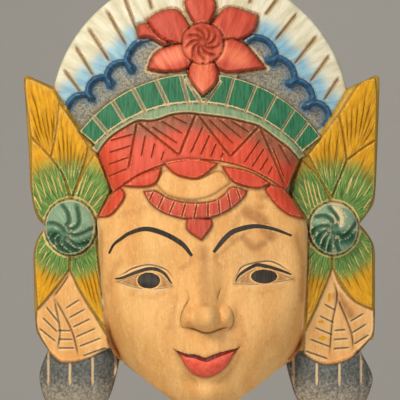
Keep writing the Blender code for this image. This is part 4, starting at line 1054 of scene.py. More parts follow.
@dataclass
class Flower:
    """The crown's red flower, laid over the band.

    Attributes:
        knob_cuts: how many curved cuts the round middle has.
    """
    knob_cuts: int = 9

    def shapes(self) -> list[Shape]:
        """Its shapes, in the order they are cut."""
        made: list[Shape] = [KeepGround()]
        made += [Petal(outline(*runs), Coat.RED, rise=2.6, bevel=1.6, crown=1.9, crown_width=8.0, wear=0.2,
                       dirt_and_shade=0.85, halo=0.6) for runs in PETALS]
        made.append(Petal(ellipse(KNOB, KNOB_RADIUS, KNOB_RADIUS), Coat.RED, rise=3.6, bevel=1.2, dome=2.8,
                          wear=0.5, dirt_and_shade=0.6, halo=0.6))
        reach = KNOB_RADIUS * 0.9
        made += [Groove(cut, width=2.4, depth=1.3, wear=0.48, dirt_and_shade=0.55, taper=0.1)
                 for cut in swirl(KNOB, reach, reach, self.knob_cuts, 10, 75)]
        made += [StainAndShade(curve(line), dirt_and_shade=faded, reach=9.0) for line, faded in FADED_PETALS]
        return made


# The wings: painted leaves, rosettes and bare leaves

LEFT_ROSETTE, RIGHT_ROSETTE = (-74.0, 25.6), (74.0, 24.9)
# Where the yellow between the leaves is rubbed off, beside the crown and the jaw
WORN_EDGES = [[(-84.3, 106.0), (-79.8, 95.2), (-71.8, 83.2), (-62.7, 70.6)],
              [(85.5, 106.0), (79.3, 94.6), (70.2, 80.9), (61.0, 68.9)], [(-52.6, -28.1), (-50.9, -43.9)],
              [(57.8, -29.8), (56.6, -45.0)]]
# Curved cuts of the rosettes, each from its hub outward
LEFT_SWIRL = [[(-76.3, 21.8), (-77.7, 24.5), (-79.7, 26.4), (-82.8, 27.8), (-86.7, 27.9)],
              [(-75.9, 25.6), (-72.2, 24.6), (-68.8, 27.4), (-68.7, 32.2), (-70.2, 38.2)],
              [(-76.3, 25.9), (-74.1, 29.1), (-75.3, 34.1), (-78.6, 38.7)],
              [(-75.6, 23.7), (-72.2, 21.2), (-67.8, 21.8), (-60.0, 25.7)],
              [(-75.9, 21.5), (-72.8, 17.7), (-68.4, 15.9), (-61.1, 17.8)],
              [(-76.9, 20.2), (-75.6, 16.5), (-72.8, 13.7), (-69.0, 11.3)],
              [(-78.5, 21.5), (-80.7, 18.4), (-80.3, 15.2), (-77.2, 11.6)],
              [(-79.7, 22.8), (-83.2, 20.9), (-83.8, 17.7), (-82.0, 14.4)]]
RIGHT_SWIRL = [[(74.3, 26.5), (72.1, 30.2), (67.8, 32.1), (61.7, 31.1)],
               [(74.3, 25.0), (70.0, 26.2), (65.6, 25.9), (61.8, 22.8), (60.3, 18.4)],
               [(73.4, 23.7), (69.0, 23.4), (65.6, 20.2), (64.3, 15.9)],
               [(73.7, 23.1), (70.9, 21.5), (68.4, 17.7), (67.8, 13.3)],
               [(74.3, 22.8), (72.8, 19.6), (71.5, 15.2), (71.3, 11.0)],
               [(75.3, 22.4), (74.7, 19.0), (75.6, 15.2), (77.6, 11.6)],
               [(75.9, 23.4), (77.8, 20.6), (80.3, 20.9), (83.5, 24.0), (87.5, 29.1)],
               [(75.3, 25.9), (76.3, 29.7), (74.7, 33.1), (71.3, 37.0)]]
ROSETTES = [(LEFT_ROSETTE, 14.9, 16.0, LEFT_SWIRL), (RIGHT_ROSETTE, 14.5, 15.2, RIGHT_SWIRL)]
DARK_LOBES = [[(-83.7, 20.6), (-80.3, 16.7), (-75.8, 13.8), (-69.0, 13.8), (-62.2, 16.7)],
              [(62.3, 22.9), (65.7, 18.4), (69.7, 14.4)], [(77.0, 19.5), (82.7, 20.6)]]
WORN_LOBE = [(76.4, 35.9), (79.3, 32.5), (78.7, 28.5)]
LEFT_LEAVES = {
    "outer top": [[(-99.9, 110.6), (-94.5, 108.9), (-83.7, 103.8)],
                  [(-83.7, 103.8), (-80.3, 95.3), (-82.0, 79.5), (-85.4, 65.0)],
                  [(-85.4, 65.0), (-96.8, 76.9)], [(-96.8, 76.9), (-100.4, 103.3), (-99.9, 110.6)]],
    "outer low": [[(-96.8, 76.9), (-85.4, 65.0), (-78.1, 54.6), (-74.1, 41.6)],
                  [(-74.1, 41.6), (-74.1, 25.7)], [(-74.1, 25.7), (-88.3, 27.4)],
                  [(-88.3, 27.4), (-93.4, 33.6), (-96.5, 47.2), (-96.8, 76.9)]],
    "middle": [[(-80.3, 95.9), (-73.0, 85.7), (-63.9, 71.6)], [(-63.9, 71.6), (-66.2, 60.8), (-73.5, 41.0)],
               [(-73.5, 41.0), (-78.1, 54.6), (-85.4, 65.0)],
               [(-85.4, 65.0), (-82.6, 77.8), (-80.3, 95.9)]],
    "inner": [[(-60.0, 67.6), (-55.4, 59.1), (-50.9, 46.7)], [(-50.9, 46.7), (-58.8, 29.7)],
              [(-58.8, 29.7), (-74.1, 25.7)],
              [(-74.1, 25.7), (-73.5, 41.6)], [(-73.5, 41.6), (-66.8, 56.3), (-60.0, 67.6)]],
    "low outer": [[(-88.3, 25.2), (-74.1, 25.7)], [(-74.1, 25.7), (-74.7, 1.1)],
                  [(-74.7, 1.1), (-84.3, -11.1), (-93.1, -21.8)],
                  [(-93.1, -21.8), (-94.9, 7.0), (-92.8, 18.4), (-88.3, 25.2)]],
    "low inner": [[(-74.4, 0.8), (-67.3, -12.2), (-53.2, -32.6)],
                  [(-53.2, -32.6), (-57.1, -1.4), (-59.4, 19.5)],
                  [(-59.4, 19.5), (-74.1, 25.7)], [(-74.1, 25.7), (-74.4, 0.8)]],
}
RIGHT_LEAVES = {
    "outer top": [[(98.5, 110.6), (99.4, 97.6), (98.7, 75.2)], [(98.7, 75.2), (89.5, 69.3), (81.8, 63.4)],
                  [(81.8, 63.4), (79.8, 77.8), (77.3, 89.7)], [(77.3, 89.7), (89.5, 107.2), (98.5, 110.6)]],
    "outer low": [[(98.7, 75.2), (97.7, 45.5), (93.4, 33.6), (88.9, 27.4)],
                  [(88.9, 27.4), (73.6, 25.2)], [(73.6, 25.2), (73.0, 42.1)],
                  [(73.0, 42.1), (77.6, 53.5), (81.8, 63.4)],
                  [(81.8, 63.4), (89.5, 69.3), (98.7, 75.2)]],
    "middle": [[(77.3, 89.7), (79.8, 77.8), (81.8, 63.4)], [(81.8, 63.4), (77.6, 53.5), (73.0, 42.1)],
               [(73.0, 42.1), (66.8, 52.3), (59.5, 66.5)], [(59.5, 66.5), (77.3, 89.7)]],
    "inner": [[(56.1, 63.6), (65.7, 54.0), (71.9, 41.6)], [(71.9, 41.6), (73.6, 25.2)],
              [(73.6, 25.2), (58.9, 29.7)],
              [(58.9, 29.7), (48.7, 46.1)], [(48.7, 46.1), (56.1, 63.6)]],
    "low outer": [[(88.9, 26.3), (93.4, 21.2), (96.8, 13.3), (97.1, -21.3)],
                  [(97.1, -21.3), (86.1, -16.2), (73.3, 2.5)], [(73.3, 2.5), (73.6, 25.2)],
                  [(73.6, 25.2), (88.9, 26.3)]],
    "low inner": [[(59.5, 16.7), (73.6, 25.2)], [(73.6, 25.2), (73.0, 2.5)],
                  [(73.0, 2.5), (70.8, -4.8), (58.0, -32.6)],
                  [(58.0, -32.6), (59.2, 1.4), (59.5, 16.7)]],
}
# Veins of the painted leaves, each from its outer end towards the rosette
LEFT_VEINS = [[(-98.5, 105.6), (-94.0, 94.9), (-91.1, 81.2), (-87.1, 69.3)], [(-97.3, 94.3), (-89.6, 70.2)],
              [(-95.8, 83.0), (-90.8, 70.8)], [(-91.7, 93.6), (-88.8, 81.8), (-85.7, 68.7)],
              [(-88.8, 95.3), (-85.4, 73.8)], [(-86.0, 91.4), (-84.3, 81.2), (-84.9, 69.3)],
              [(-83.5, 93.1), (-83.5, 76.7)], [(-81.2, 78.4), (-78.9, 55.1)],
              [(-79.8, 87.4), (-78.1, 74.1), (-76.9, 50.1)], [(-76.8, 83.4), (-75.5, 69.3), (-75.2, 48.4)],
              [(-73.5, 78.9), (-73.8, 48.9)], [(-71.3, 73.8), (-72.4, 50.1)],
              [(-68.5, 69.9), (-70.7, 54.6)], [(-65.6, 69.3), (-68.7, 59.7)],
              [(-90.5, 60.8), (-83.7, 40.4)], [(-94.0, 63.6), (-86.9, 37.9)],
              [(-96.5, 56.3), (-89.1, 35.3)], [(-96.2, 45.5), (-90.0, 33.6)],
              [(-86.6, 60.2), (-80.9, 41.6)], [(-82.6, 56.8), (-77.5, 42.7)],
              [(-66.5, 56.3), (-71.3, 41.0)], [(-63.4, 59.1), (-69.6, 40.4)],
              [(-60.1, 55.1), (-67.9, 38.7)], [(-57.1, 50.6), (-65.1, 35.9)],
              [(-54.3, 45.5), (-62.8, 34.8)], [(-87.4, 18.1), (-93.4, 9.3)], [(-86.6, 13.8), (-92.5, 2.5)],
              [(-84.9, 10.4), (-91.7, -4.8)], [(-82.6, 8.2), (-90.0, -9.4)], [(-79.8, 5.3), (-87.1, -10.5)],
              [(-78.1, 1.9), (-83.7, -7.1)], [(-71.3, 7.6), (-64.5, -11.6)], [(-68.5, 7.6), (-60.5, -19.6)],
              [(-65.6, 7.6), (-58.3, -22.4)], [(-63.1, 8.2), (-56.6, -20.7)],
              [(-61.1, 9.3), (-55.4, -15.6)]]
RIGHT_VEINS = [[(92.9, 103.3), (91.2, 90.8), (88.1, 72.9)], [(96.8, 99.9), (89.2, 73.5)],
               [(97.4, 90.8), (90.3, 73.5)], [(97.7, 82.9), (91.2, 72.1)], [(84.9, 94.2), (84.1, 71.6)],
               [(88.7, 98.2), (86.1, 72.1)], [(81.5, 91.4), (82.7, 70.4)],
               [(73.6, 81.2), (71.6, 69.9), (72.8, 48.4)], [(70.2, 77.2), (69.1, 69.3), (71.1, 48.4)],
               [(77.0, 75.0), (74.7, 49.5)], [(66.8, 69.3), (70.2, 50.1)], [(80.4, 67.0), (76.2, 48.9)],
               [(63.4, 68.7), (68.5, 52.3)], [(77.6, 81.8), (74.2, 58.0)], [(85.8, 55.1), (80.1, 42.1)],
               [(93.4, 68.2), (83.8, 43.3)], [(97.4, 62.5), (85.2, 38.7)], [(97.7, 53.5), (90.0, 41.0)],
               [(96.5, 43.3), (90.3, 34.8)], [(88.9, 62.5), (81.0, 46.7)], [(55.8, 59.1), (62.0, 31.9)],
               [(57.8, 57.4), (64.0, 33.6)], [(60.9, 54.6), (65.7, 35.3)], [(64.0, 52.3), (67.4, 38.2)],
               [(52.7, 52.3), (60.0, 33.1)], [(89.5, 18.9), (96.3, 8.2)], [(87.5, 16.7), (95.7, -1.4)],
               [(84.1, 12.7), (94.0, -6.5)], [(80.4, 8.7), (90.6, -11.1)], [(77.6, 4.2), (84.9, -9.9)],
               [(62.3, 12.1), (59.7, -7.7)], [(65.1, 9.3), (60.9, -11.6)], [(68.5, 6.5), (62.9, -13.3)],
               [(71.3, 2.5), (65.1, -11.6)]]
BARE_LEAVES = [
    ([(-74.7, 1.4), (-67.9, -12.2), (-53.7, -34.8)], [(-53.7, -34.8), (-52.0, -42.8)],
     [(-52.0, -42.8), (-64.5, -48.4), (-72.7, -50.4), (-80.3, -50.1), (-87.1, -44.5)],
     [(-87.1, -44.5), (-91.7, -36.5), (-93.9, -29.2), (-93.6, -21.8)],
     [(-93.6, -21.8), (-84.3, -11.1), (-74.7, 1.4)]),
    ([(73.6, 2.5), (78.4, -7.7), (86.1, -16.2), (97.4, -21.8)],
     [(97.4, -21.8), (97.4, -33.1), (94.3, -38.8), (87.8, -45.0), (82.1, -49.0), (73.6, -51.5),
      (66.3, -51.0), (57.2, -46.2)],
     [(57.2, -46.2), (57.8, -33.7)], [(57.8, -33.7), (64.6, -19.6), (70.8, -4.8), (73.6, 2.5)]),
]
MIDRIBS = [[(-74.7, -0.9), (-79.2, -7.7), (-84.0, -13.9)],
           [(-84.0, -13.9), (-78.1, -23.8), (-72.7, -35.2), (-69.6, -48.4)],
           [(-84.0, -13.9), (-80.3, -32.6), (-82.0, -45.0)],
           [(74.2, -4.3), (76.4, -13.9), (73.6, -29.2), (72.3, -47.3)],
           [(76.4, -13.9), (84.4, -33.7), (85.9, -44.5)]]
# Ribs of the bare leaves: the first and the last of each group
RIBS = [(((-76.9, -20.4), (-69.0, -15.3)), ((-67.3, -47.3), (-53.7, -42.2))),
        (((-81.5, -33.1), (-74.1, -33.1)), ((-81.5, -43.1), (-71.8, -42.8))),
        (((-88.3, -19.6), (-80.9, -28.6)), ((-92.2, -32.0), (-82.6, -39.4))),
        (((69.1, -17.9), (75.9, -21.8)), ((58.3, -44.2), (71.3, -49.0))),
        (((74.7, -32.9), (81.5, -32.6)), ((74.2, -43.3), (83.8, -42.8))),
        (((83.8, -28.1), (91.7, -23.5)), ((86.1, -41.1), (95.1, -35.4)))]
LEAF_STAINS = [[(76.4, -13.3), (80.4, -19.0), (83.8, -24.1)]]
# Splashes of yellow on the bare leaf on the right
SPLASHES = [((68.2, -37.1), 2.4, 1.2), ((67.1, -27.8), 1.8, 0.9), ((71.9, -14.2), 1.0, 2.6)]
BELLS = [
    Pendant(LEFT_BELL, middle_u=-70.4, half_width=21.6, top_v=-44.5, low_v=-85.0, ridge_u=-74.3,
            corner=(-51.3, -42.2)),
    Pendant(RIGHT_BELL, middle_u=73.6, half_width=23.0, top_v=-44.5, low_v=-85.0, ridge_u=77.3,
            corner=(54.2, -43.9)),
]


@dataclass
class Wings:
    """The side blocks with their painted leaves, the fluted bells and the bare leaves over the bells.

    Attributes:
        bevel: width of the slope round a side block.
        vein_width: width of a cut in a painted leaf.
        rib_width: width of a cut in a bare leaf.
        top_green, low_green: how far from the rosette the leaves above and below it start to turn
            yellow, and where they are all yellow.
    """
    bevel: float = 2.4
    vein_width: float = 1.2
    rib_width: float = 1.7
    top_green: tuple[float, float] = (26.0, 50.0)
    low_green: tuple[float, float] = (20.0, 38.0)

    def blocks(self) -> list[Shape]:
        """The two side blocks."""
        left = outline([LEFT_WING_TIP[-1], CROWN_LEFT], [CROWN_LEFT, (-68.4, 82.0), (-58.1, 69.5)],
                       [(-58.1, 69.5), (-49.5, 41.0), (-49.5, -16.0), JAW[0]],
                       [JAW[0], (-69.5, -53.6), LEFT_BELL[0]],
                       LEFT_LOW_SIDE[::-1], LEFT_WING_SIDE[::-1], LEFT_WING_TIP)
        right = outline([RIGHT_WING_TIP[-1], CROWN_RIGHT], [CROWN_RIGHT, (67.3, 80.3), (55.9, 69.5)],
                        [(55.9, 69.5), (48.5, 41.0), (48.5, -16.0), JAW[-1]],
                        [JAW[-1], (70.2, -53.6), RIGHT_BELL[-1]],
                        RIGHT_LOW_SIDE, RIGHT_WING_SIDE, RIGHT_WING_TIP)
        made: list[Shape] = [Level(edge, Coat.EDGE, surface=wing_level, bevel=self.bevel, wear=0.0)
                             for edge in (left, right)]
        made += [StainAndShade(curve(line), dirt_and_shade=0.45, reach=3.6, rubbed=True) for line in WORN_EDGES]
        return made

    def leaves(self) -> list[Shape]:
        """The painted leaves and their veins."""
        made: list[Shape] = []
        for root, leaves in ((LEFT_ROSETTE, LEFT_LEAVES), (RIGHT_ROSETTE, RIGHT_LEAVES)):
            for name, runs in leaves.items():
                green = self.low_green if name.startswith("low") else self.top_green
                made.append(Leaf(outline(*runs), Coat.LEAF, rise=1.1, bevel=1.1, crown=0.8, crown_width=7.0,
                                 wear=0.62, dirt_and_shade=0.55, root=root, green=green))
        made += [Vein(curve(line), width=self.vein_width, depth=0.6, wear=1.0, dirt_and_shade=0.9, taper=0.3)
                 for line in LEFT_VEINS + RIGHT_VEINS]
        return made

    def shapes(self) -> list[Shape]:
        """Its shapes, in the order they are cut."""
        made = self.blocks() + self.leaves()
        made += [Bell(outline(bell.edge, [bell.edge[-1], bell.corner], [bell.corner, bell.edge[0]]),
                      Coat.BELL, surface=bell.level, bevel=1.6, wear=0.4, pendant=bell) for bell in BELLS]
        made += [Level(outline(*runs), Coat.BARE, surface=bare_leaf_level, bevel=1.3, wear=0.5, dirt_and_shade=0.9)
                 for runs in BARE_LEAVES]
        made += [Groove(curve(line), width=1.8, depth=0.9, wear=0.6, dirt_and_shade=0.9) for line in MIDRIBS]
        made += [Groove(line, width=self.rib_width, depth=0.8, wear=0.8, dirt_and_shade=1.0, taper=0.06)
                 for first, last in RIBS for line in between(first, last, RIB_STEP)]
        made += [StainAndShade(curve(line), dirt_and_shade=1.0, reach=5.5) for line in LEAF_STAINS]
        made += [Patch(ellipse(*splash), Coat.LEAF) for splash in SPLASHES]
        return made


@dataclass
class Rosettes:
    """The two swirled green rosettes over the leaves and the edge of the face.

    Attributes:
        cut_width: width of a cut between two lobes of the swirl.
        cut_depth: its depth.
        valley: how much darker the green is painted in a cut, as painted shade.
    """
    cut_width: float = 3.2
    cut_depth: float = 1.5
    valley: float = 0.65

    def shapes(self) -> list[Shape]:
        """Its shapes, in the order they are cut."""
        made: list[Shape] = [KeepGround()]
        for centre, half_width, half_height, cuts in ROSETTES:
            made.append(Petal(ellipse(centre, half_width, half_height), Coat.ROSETTE, rise=2.0, bevel=1.2,
                              dome=6.4, wear=0.65, dirt_and_shade=0.45, halo=0.9))
            lines = [curve(cut) for cut in cuts]
            made += [Groove(line, width=self.cut_width, depth=self.cut_depth, wear=0.5, dirt_and_shade=0.2,
                            taper=0.08) for line in lines]
            # The darker green in the cuts is painted shade.
            made += [StainAndShade(line, dirt_and_shade=self.valley, reach=self.cut_width) for line in lines]
        made += [StainAndShade(curve(line), dirt_and_shade=1.0, reach=8.0) for line in DARK_LOBES]
        made.append(StainAndShade(curve(WORN_LOBE), dirt_and_shade=0.50, reach=6.5, rubbed=True))
        return made


# The band and the kerchief

# The worn strips between the band's blocks, each from its outer to its inner end
BLOCK_CUTS = [((-61.0, 88.0), (-52.8, 78.3)), ((-50.9, 97.7), (-43.3, 85.2)),
              ((-39.1, 104.2), (-31.3, 89.7)), ((-26.5, 109.8), (-19.0, 94.1)),
              ((-12.0, 111.4), (-7.5, 94.9)), ((-8.4, 108.1), (-0.3, 94.7)), ((10.4, 107.0), (2.0, 94.7)),
              ((18.1, 109.8), (13.2, 93.0)), ((31.0, 106.7), (24.3, 90.2)), ((42.4, 101.1), (34.1, 85.2)),
              ((52.6, 93.0), (43.6, 78.8)), ((60.1, 85.2), (51.2, 72.9))]
KERCHIEF_TOP = [(54.2, 63.4), (48.1, 69.8), (40.3, 75.7), (31.9, 81.8), (24.6, 84.0), (15.1, 86.3),
                (1.1, 88.2), (-7.8, 89.2), (-16.8, 88.3), (-23.5, 86.0), (-29.1, 84.9), (-35.9, 85.0),
                (-44.1, 80.7), (-52.0, 75.1), (-58.7, 66.7)]
PEAKS = [(-36.1, 84.6), (-3.1, 89.4), (31.9, 82.0)]
VALLEYS = [(-40.8, 57.8), (-12.6, 65.6), (15.7, 64.8), (45.9, 48.8)]
# Cuts in the kerchief's cloth: the first and the last of each group
HATCH = [(((-51.4, 74.0), (-38.0, 77.6)), ((-52.5, 53.9), (-41.3, 58.3))),
         (((-31.3, 77.1), (-33.5, 65.0)), ((-20.8, 68.1), (-22.6, 62.5))),
         (((-28.0, 81.9), (-13.2, 72.1)), ((-17.9, 88.2), (-8.1, 83.1))),
         (((0.7, 82.0), (-6.3, 66.7)), ((11.8, 67.6), (10.4, 63.9))),
         (((3.5, 85.9), (17.6, 71.8)), ((15.3, 85.5), (26.6, 78.1))),
         (((32.2, 74.5), (23.1, 61.2)), ((39.1, 59.7), (36.4, 54.7))),
         (((39.1, 70.1), (45.9, 52.7)), ((42.5, 72.3), (49.8, 59.2)))]
# Where the pale lip and the band end, on the right and on the left
LIP_RIGHT, LIP_LEFT = (55.9, 63.4), (-59.2, 67.0)
BAND_RIGHT, BAND_LEFT = (60.4, 71.2), (-63.1, 74.5)


@dataclass
class Band:
    """The kerchief with its folds, the pale lip and the green band of blocks.

    Attributes:
        fold_width: width of the cuts between the kerchief's folds.
        left_strip, right_strip: widths of the worn strips between two blocks.
        brown: how far down the kerchief's red is darkened to brown, a painted shadow under the lip and the
            band.
    """
    fold_width: float = 2.0
    left_strip: float = 2.7
    right_strip: float = 1.8
    brown: float = 15.0

    def cloth(self) -> list[Shape]:
        """The kerchief, with a brown painted shadow at its top under the lip and the band, its folds and
        fine cuts.
        """
        hair = arc(HAIR_CENTRE, HAIR_RADIUS, bearing(LEFT_CHEEK[0], HAIR_CENTRE),
                   bearing(RIGHT_CHEEK[-1], HAIR_CENTRE))
        edge = outline(hair, [hair[-1], KERCHIEF_TOP[0]], KERCHIEF_TOP, [KERCHIEF_TOP[-1], hair[0]])
        # The brown along the kerchief's top is painted shadow under the lip and the band.
        made: list[Shape] = [Boss(edge, Coat.CLOTH, rise=1.4, bevel=1.0, wear=0.5),
                             Shade(curve(KERCHIEF_TOP[1:12]), reach=self.brown)]
        folds = [point for pair in zip(VALLEYS, PEAKS) for point in pair] + VALLEYS[-1:]
        made += [Groove(straight(start, end), width=self.fold_width, depth=1.2, wear=0.55, dirt_and_shade=0.75,
                        taper=0.05) for start, end in zip(folds, folds[1:])]
        made += [Groove(line, width=1.3, depth=0.9, wear=0.5, dirt_and_shade=0.8, taper=0.06)
                 for first, last in HATCH for line in between(first, last, HATCH_STEP)]
        return made

    def shapes(self) -> list[Shape]:
        """Its shapes, in the order they are cut."""
        made = self.cloth()
        over = arc(BLOCK_CENTRE, BLOCK_RADIUS + 1.0, bearing(LIP_RIGHT, BLOCK_CENTRE),
                   bearing(LIP_LEFT, BLOCK_CENTRE))
        under = KERCHIEF_TOP[::-1]
        made.append(Level(outline(over, [over[-1], under[0]], under, [under[-1], over[0]]), Coat.PALE_GREEN,
                          surface=lip_level, bevel=1.0, dirt_and_shade=0.9))
        edge = ring((BAND_CENTRE, BAND_RADIUS), (BLOCK_CENTRE, BLOCK_RADIUS), BAND_RIGHT, BAND_LEFT)
        made.append(Level(edge, Coat.GREEN, surface=band_level, bevel=1.1, wear=0.8))
        for outer, inner in BLOCK_CUTS:
            width = self.left_strip if outer[0] < 0 else self.right_strip
            made.append(Groove(straight(outer, inner), Coat.STRIP, width=width, wear=0.35, taper=0.03))
        return made


# The forehead and the face

LOBES = [
    ([(-44.7, 48.3), (-42.5, 42.7), (-50.3, 32.6), (-59.2, 30.7)],
     [(-59.2, 30.7), (-51.4, 43.2), (-44.7, 48.3)]),
    ([(-45.0, 48.3), (-31.3, 48.0), (-24.9, 50.8), (-21.4, 59.7)],
     [(-21.4, 59.7), (-34.6, 55.0), (-45.0, 48.3)]),
    ([(-22.3, 62.0), (-16.2, 55.8), (-10.0, 53.3), (-1.4, 52.9), (9.8, 61.4)],
     [(9.8, 61.4), (-6.7, 64.2), (-22.3, 62.0)]),
    ([(10.4, 60.0), (16.2, 51.3), (24.1, 48.0), (31.9, 47.4), (38.6, 50.2)],
     [(38.6, 50.2), (25.7, 57.2), (10.4, 60.0)]),
    ([(37.8, 49.9), (35.0, 45.5), (45.3, 34.0), (57.6, 29.8)], [(57.6, 29.8), (47.5, 45.5), (37.8, 49.9)]),
]
CRESCENT = ([(-25.4, 49.9), (-18.7, 43.8), (-7.8, 41.3), (3.9, 43.0), (15.7, 50.5)],
            [(15.7, 50.5), (9.5, 56.7), (-1.7, 52.7), (-11.2, 53.3), (-20.1, 57.2), (-25.4, 49.9)])
BEADS_LOW = [(-32.4, 45.8), (-29.3, 39.9), (-22.9, 34.6), (-14.0, 31.4), (-4.5, 30.1), (5.0, 31.2),
             (14.3, 35.1), (21.8, 41.0), (25.2, 46.0)]
BEADS_TOP = [(25.2, 46.0), (16.5, 48.3), (11.5, 43.6), (4.8, 40.3), (-7.8, 39.7), (-18.4, 42.1),
             (-25.4, 46.1), (-32.4, 45.8)]
DROP = ([(-8.4, 30.9), (-8.1, 24.2), (-0.3, 18.6)], [(-0.3, 18.6), (5.6, 26.5), (5.3, 30.9)],
        [(5.3, 30.9), (-8.4, 30.9)])
EYES = [
    Eye(crease=[(-47.7, -2.0), (-42.7, 0.5), (-37.8, 3.2), (-28.8, 5.1), (-19.8, 2.5), (-15.8, -2.2)],
        line=[(-48.2, -2.7), (-44.1, -2.1), (-35.8, 1.1), (-28.1, 3.0), (-21.2, 0.8), (-16.5, -5.3)],
        lid=[(-47.4, -4.2), (-36.7, -0.9), (-29.7, 1.1), (-23.3, -0.4), (-16.1, -6.8)],
        low=[(-16.1, -6.8), (-22.9, -7.9), (-31.1, -8.2), (-39.6, -6.8), (-47.4, -4.2)],
        middle=(-29.3, -3.5), pupil=(6.3, 4.4)),
    Eye(crease=[(17.2, -4.5), (19.5, 0.2), (23.1, 4.6), (34.2, 7.0), (40.5, 6.1), (50.0, 0.6)],
        line=[(18.3, -3.9), (21.1, 0.2), (28.6, 4.6), (33.3, 4.8), (42.9, 2.2), (49.6, -0.4)],
        lid=[(17.5, -5.2), (26.3, 1.4), (32.7, 2.8), (41.1, 0.9), (51.0, -3.0)],
        low=[(51.0, -3.0), (39.0, -4.7), (28.4, -5.6), (17.5, -5.2)],
        middle=(34.2, -1.2), pupil=(7.3, 3.8)),
]
BROWS = [([(-51.6, 11.1), (-48.9, 16.1), (-44.7, 19.5), (-39.9, 22.6), (-30.9, 25.0), (-20.5, 22.3),
           (-10.8, 16.7), (-5.5, 10.2)], False),
         ([(6.4, 12.2), (9.6, 16.4), (13.5, 20.8), (18.3, 24.1), (28.6, 26.5), (38.9, 25.1),
           (49.6, 21.2)], True)]
LIPS = ([(-14.4, -41.8), (-8.5, -43.8), (-4.1, -43.9), (-0.8, -44.9), (2.1, -45.7)],
        [(2.1, -45.7), (5.3, -44.3), (10.5, -42.5), (16.9, -41.8), (20.5, -40.2)],
        [(20.5, -40.2), (17.5, -43.8), (15.1, -48.6), (10.9, -53.2), (5.4, -56.5), (0.7, -57.1),
         (-4.8, -55.1), (-9.0, -50.5), (-12.2, -44.7), (-14.4, -41.8)])
# The upper lip, which faces down: its red is painted dark as shade.
SHADED_UPPER_LIP = [(-13.9, -42.3), (-8.5, -44.5), (-3.9, -44.9), (2.1, -46.6), (5.6, -45.4), (10.8, -43.5),
             (20.0, -40.9)]
MOUTH_CORNERS = [[(-16.1, -40.8), (-13.6, -43.0), (-11.1, -46.0)],
                 [(21.6, -39.4), (19.1, -41.6), (16.6, -44.9)]]
# Brown patches of the bare wood: real stains on the forehead, and painted shade along the face's edges and
# jaw, in the eye sockets, beside the nose and at the mouth's corners. A line through each, how far it
# reaches and how dark it is
STAINS_AND_SHADE = [([(24.4, 34.3), (32.2, 29.9), (37.7, 21.0)], 7.0, 1.0),
          ([(22.7, 19.9), (28.3, 14.9), (34.4, 17.2)], 5.0, 0.8),
          ([(27.7, 51.0), (33.3, 53.2), (38.8, 48.8)], 8.0, 1.0), ([(33.3, 42.7), (46.0, 43.2)], 5.0, 0.7),
          ([(43.3, 38.2), (52.1, 33.2)], 6.0, 0.7), ([(16.6, 18.8), (21.1, 33.2), (33.3, 37.7)], 5.0, 0.55),
          ([(52.1, 21.0), (55.4, 6.6), (55.4, -14.4)], 4.5, 0.6),
          ([(-56.0, 23.3), (-56.5, 3.3), (-55.4, -20.0)], 4.0, 0.6),
          ([(-45.5, 6.6), (-49.9, -0.6), (-52.1, -8.9)], 6.0, 0.5),
          ([(-14.4, -12.2), (-15.5, -21.1), (-17.7, -28.9)], 5.0, 0.45),
          ([(21.1, -24.4), (22.7, -32.2), (21.1, -38.8)], 5.0, 0.45),
          ([(-14.4, -43.3), (-10.0, -52.1), (-3.3, -59.9)], 4.0, 0.5),
          ([(21.1, -43.3), (16.6, -52.1), (10.0, -59.9)], 4.0, 0.5),
          ([(-45.5, -54.4), (-23.3, -68.8), (-1.1, -77.6)], 5.0, 0.6),
          ([(48.8, -54.4), (29.4, -67.7), (7.2, -77.1)], 5.0, 0.6),
          ([(-45.5, 32.7), (-28.8, 36.6), (-20.5, 32.1)], 5.0, 0.4),
          ([(-11.1, 3.3), (-6.6, 6.6), (-5.5, 13.3)], 4.0, 0.5),
          ([(11.1, 3.3), (7.8, 7.7), (7.8, 13.3)], 4.0, 0.5),
          ([(-39.9, -10.6), (-28.8, -12.8), (-17.7, -10.0)], 3.5, 0.35),
          ([(21.1, -8.9), (33.3, -10.0), (46.0, -6.7)], 3.5, 0.35),
          ([(0.6, 13.3), (1.1, -0.6), (1.7, -14.4)], 7.0, 0.75)]
# Cuts round the wings of the nose and under it
NOSE_CUTS = [[(-7.9, -8.2), (-7.5, -13.9), (-10.0, -18.4), (-11.7, -23.0), (-11.3, -27.8), (-8.5, -31.4)],
             [(10.8, -7.4), (9.3, -10.2), (8.4, -14.8)],
             [(13.3, -15.9), (16.6, -20.1), (17.5, -25.1), (15.9, -29.3), (12.8, -31.4)]]


@dataclass
class Jewels:
    """The kerchief's lobed hem, the bare crescent, its beads and the drop.

    Attributes:
        beads: how many beads hang under the crescent.
    """
    beads: int = 10

    def shapes(self) -> list[Shape]:
        """Its shapes, in the order they are cut."""
        made: list[Shape] = [Boss(outline(*runs), Coat.CLOTH, rise=2.0, bevel=1.3, crown=1.2,
                                  crown_width=5.0, wear=0.5, dirt_and_shade=0.7) for runs in LOBES]
        made.append(Boss(outline(*CRESCENT), Coat.BARE, rise=0.8, bevel=1.0, wear=0.0, dirt_and_shade=0.7))
        made.append(Boss(outline(BEADS_LOW, BEADS_TOP), Coat.RED, rise=1.6, bevel=1.0, crown=1.0,
                         crown_width=3.5, dirt_and_shade=0.9))
        low, top = curve(BEADS_LOW), curve(BEADS_TOP[::-1])
        for k in range(1, self.beads):
            ends = [line[round(k / self.beads * (len(line) - 1))] for line in (low, top)]
            made.append(Groove(straight(*ends), width=1.3, depth=0.8, wear=0.8, taper=0.02))
        made.append(Boss(outline(*DROP), Coat.RED, rise=1.8, bevel=1.2, crown=0.8, crown_width=4.0,
                         wear=0.5, dirt_and_shade=0.9))
        return made


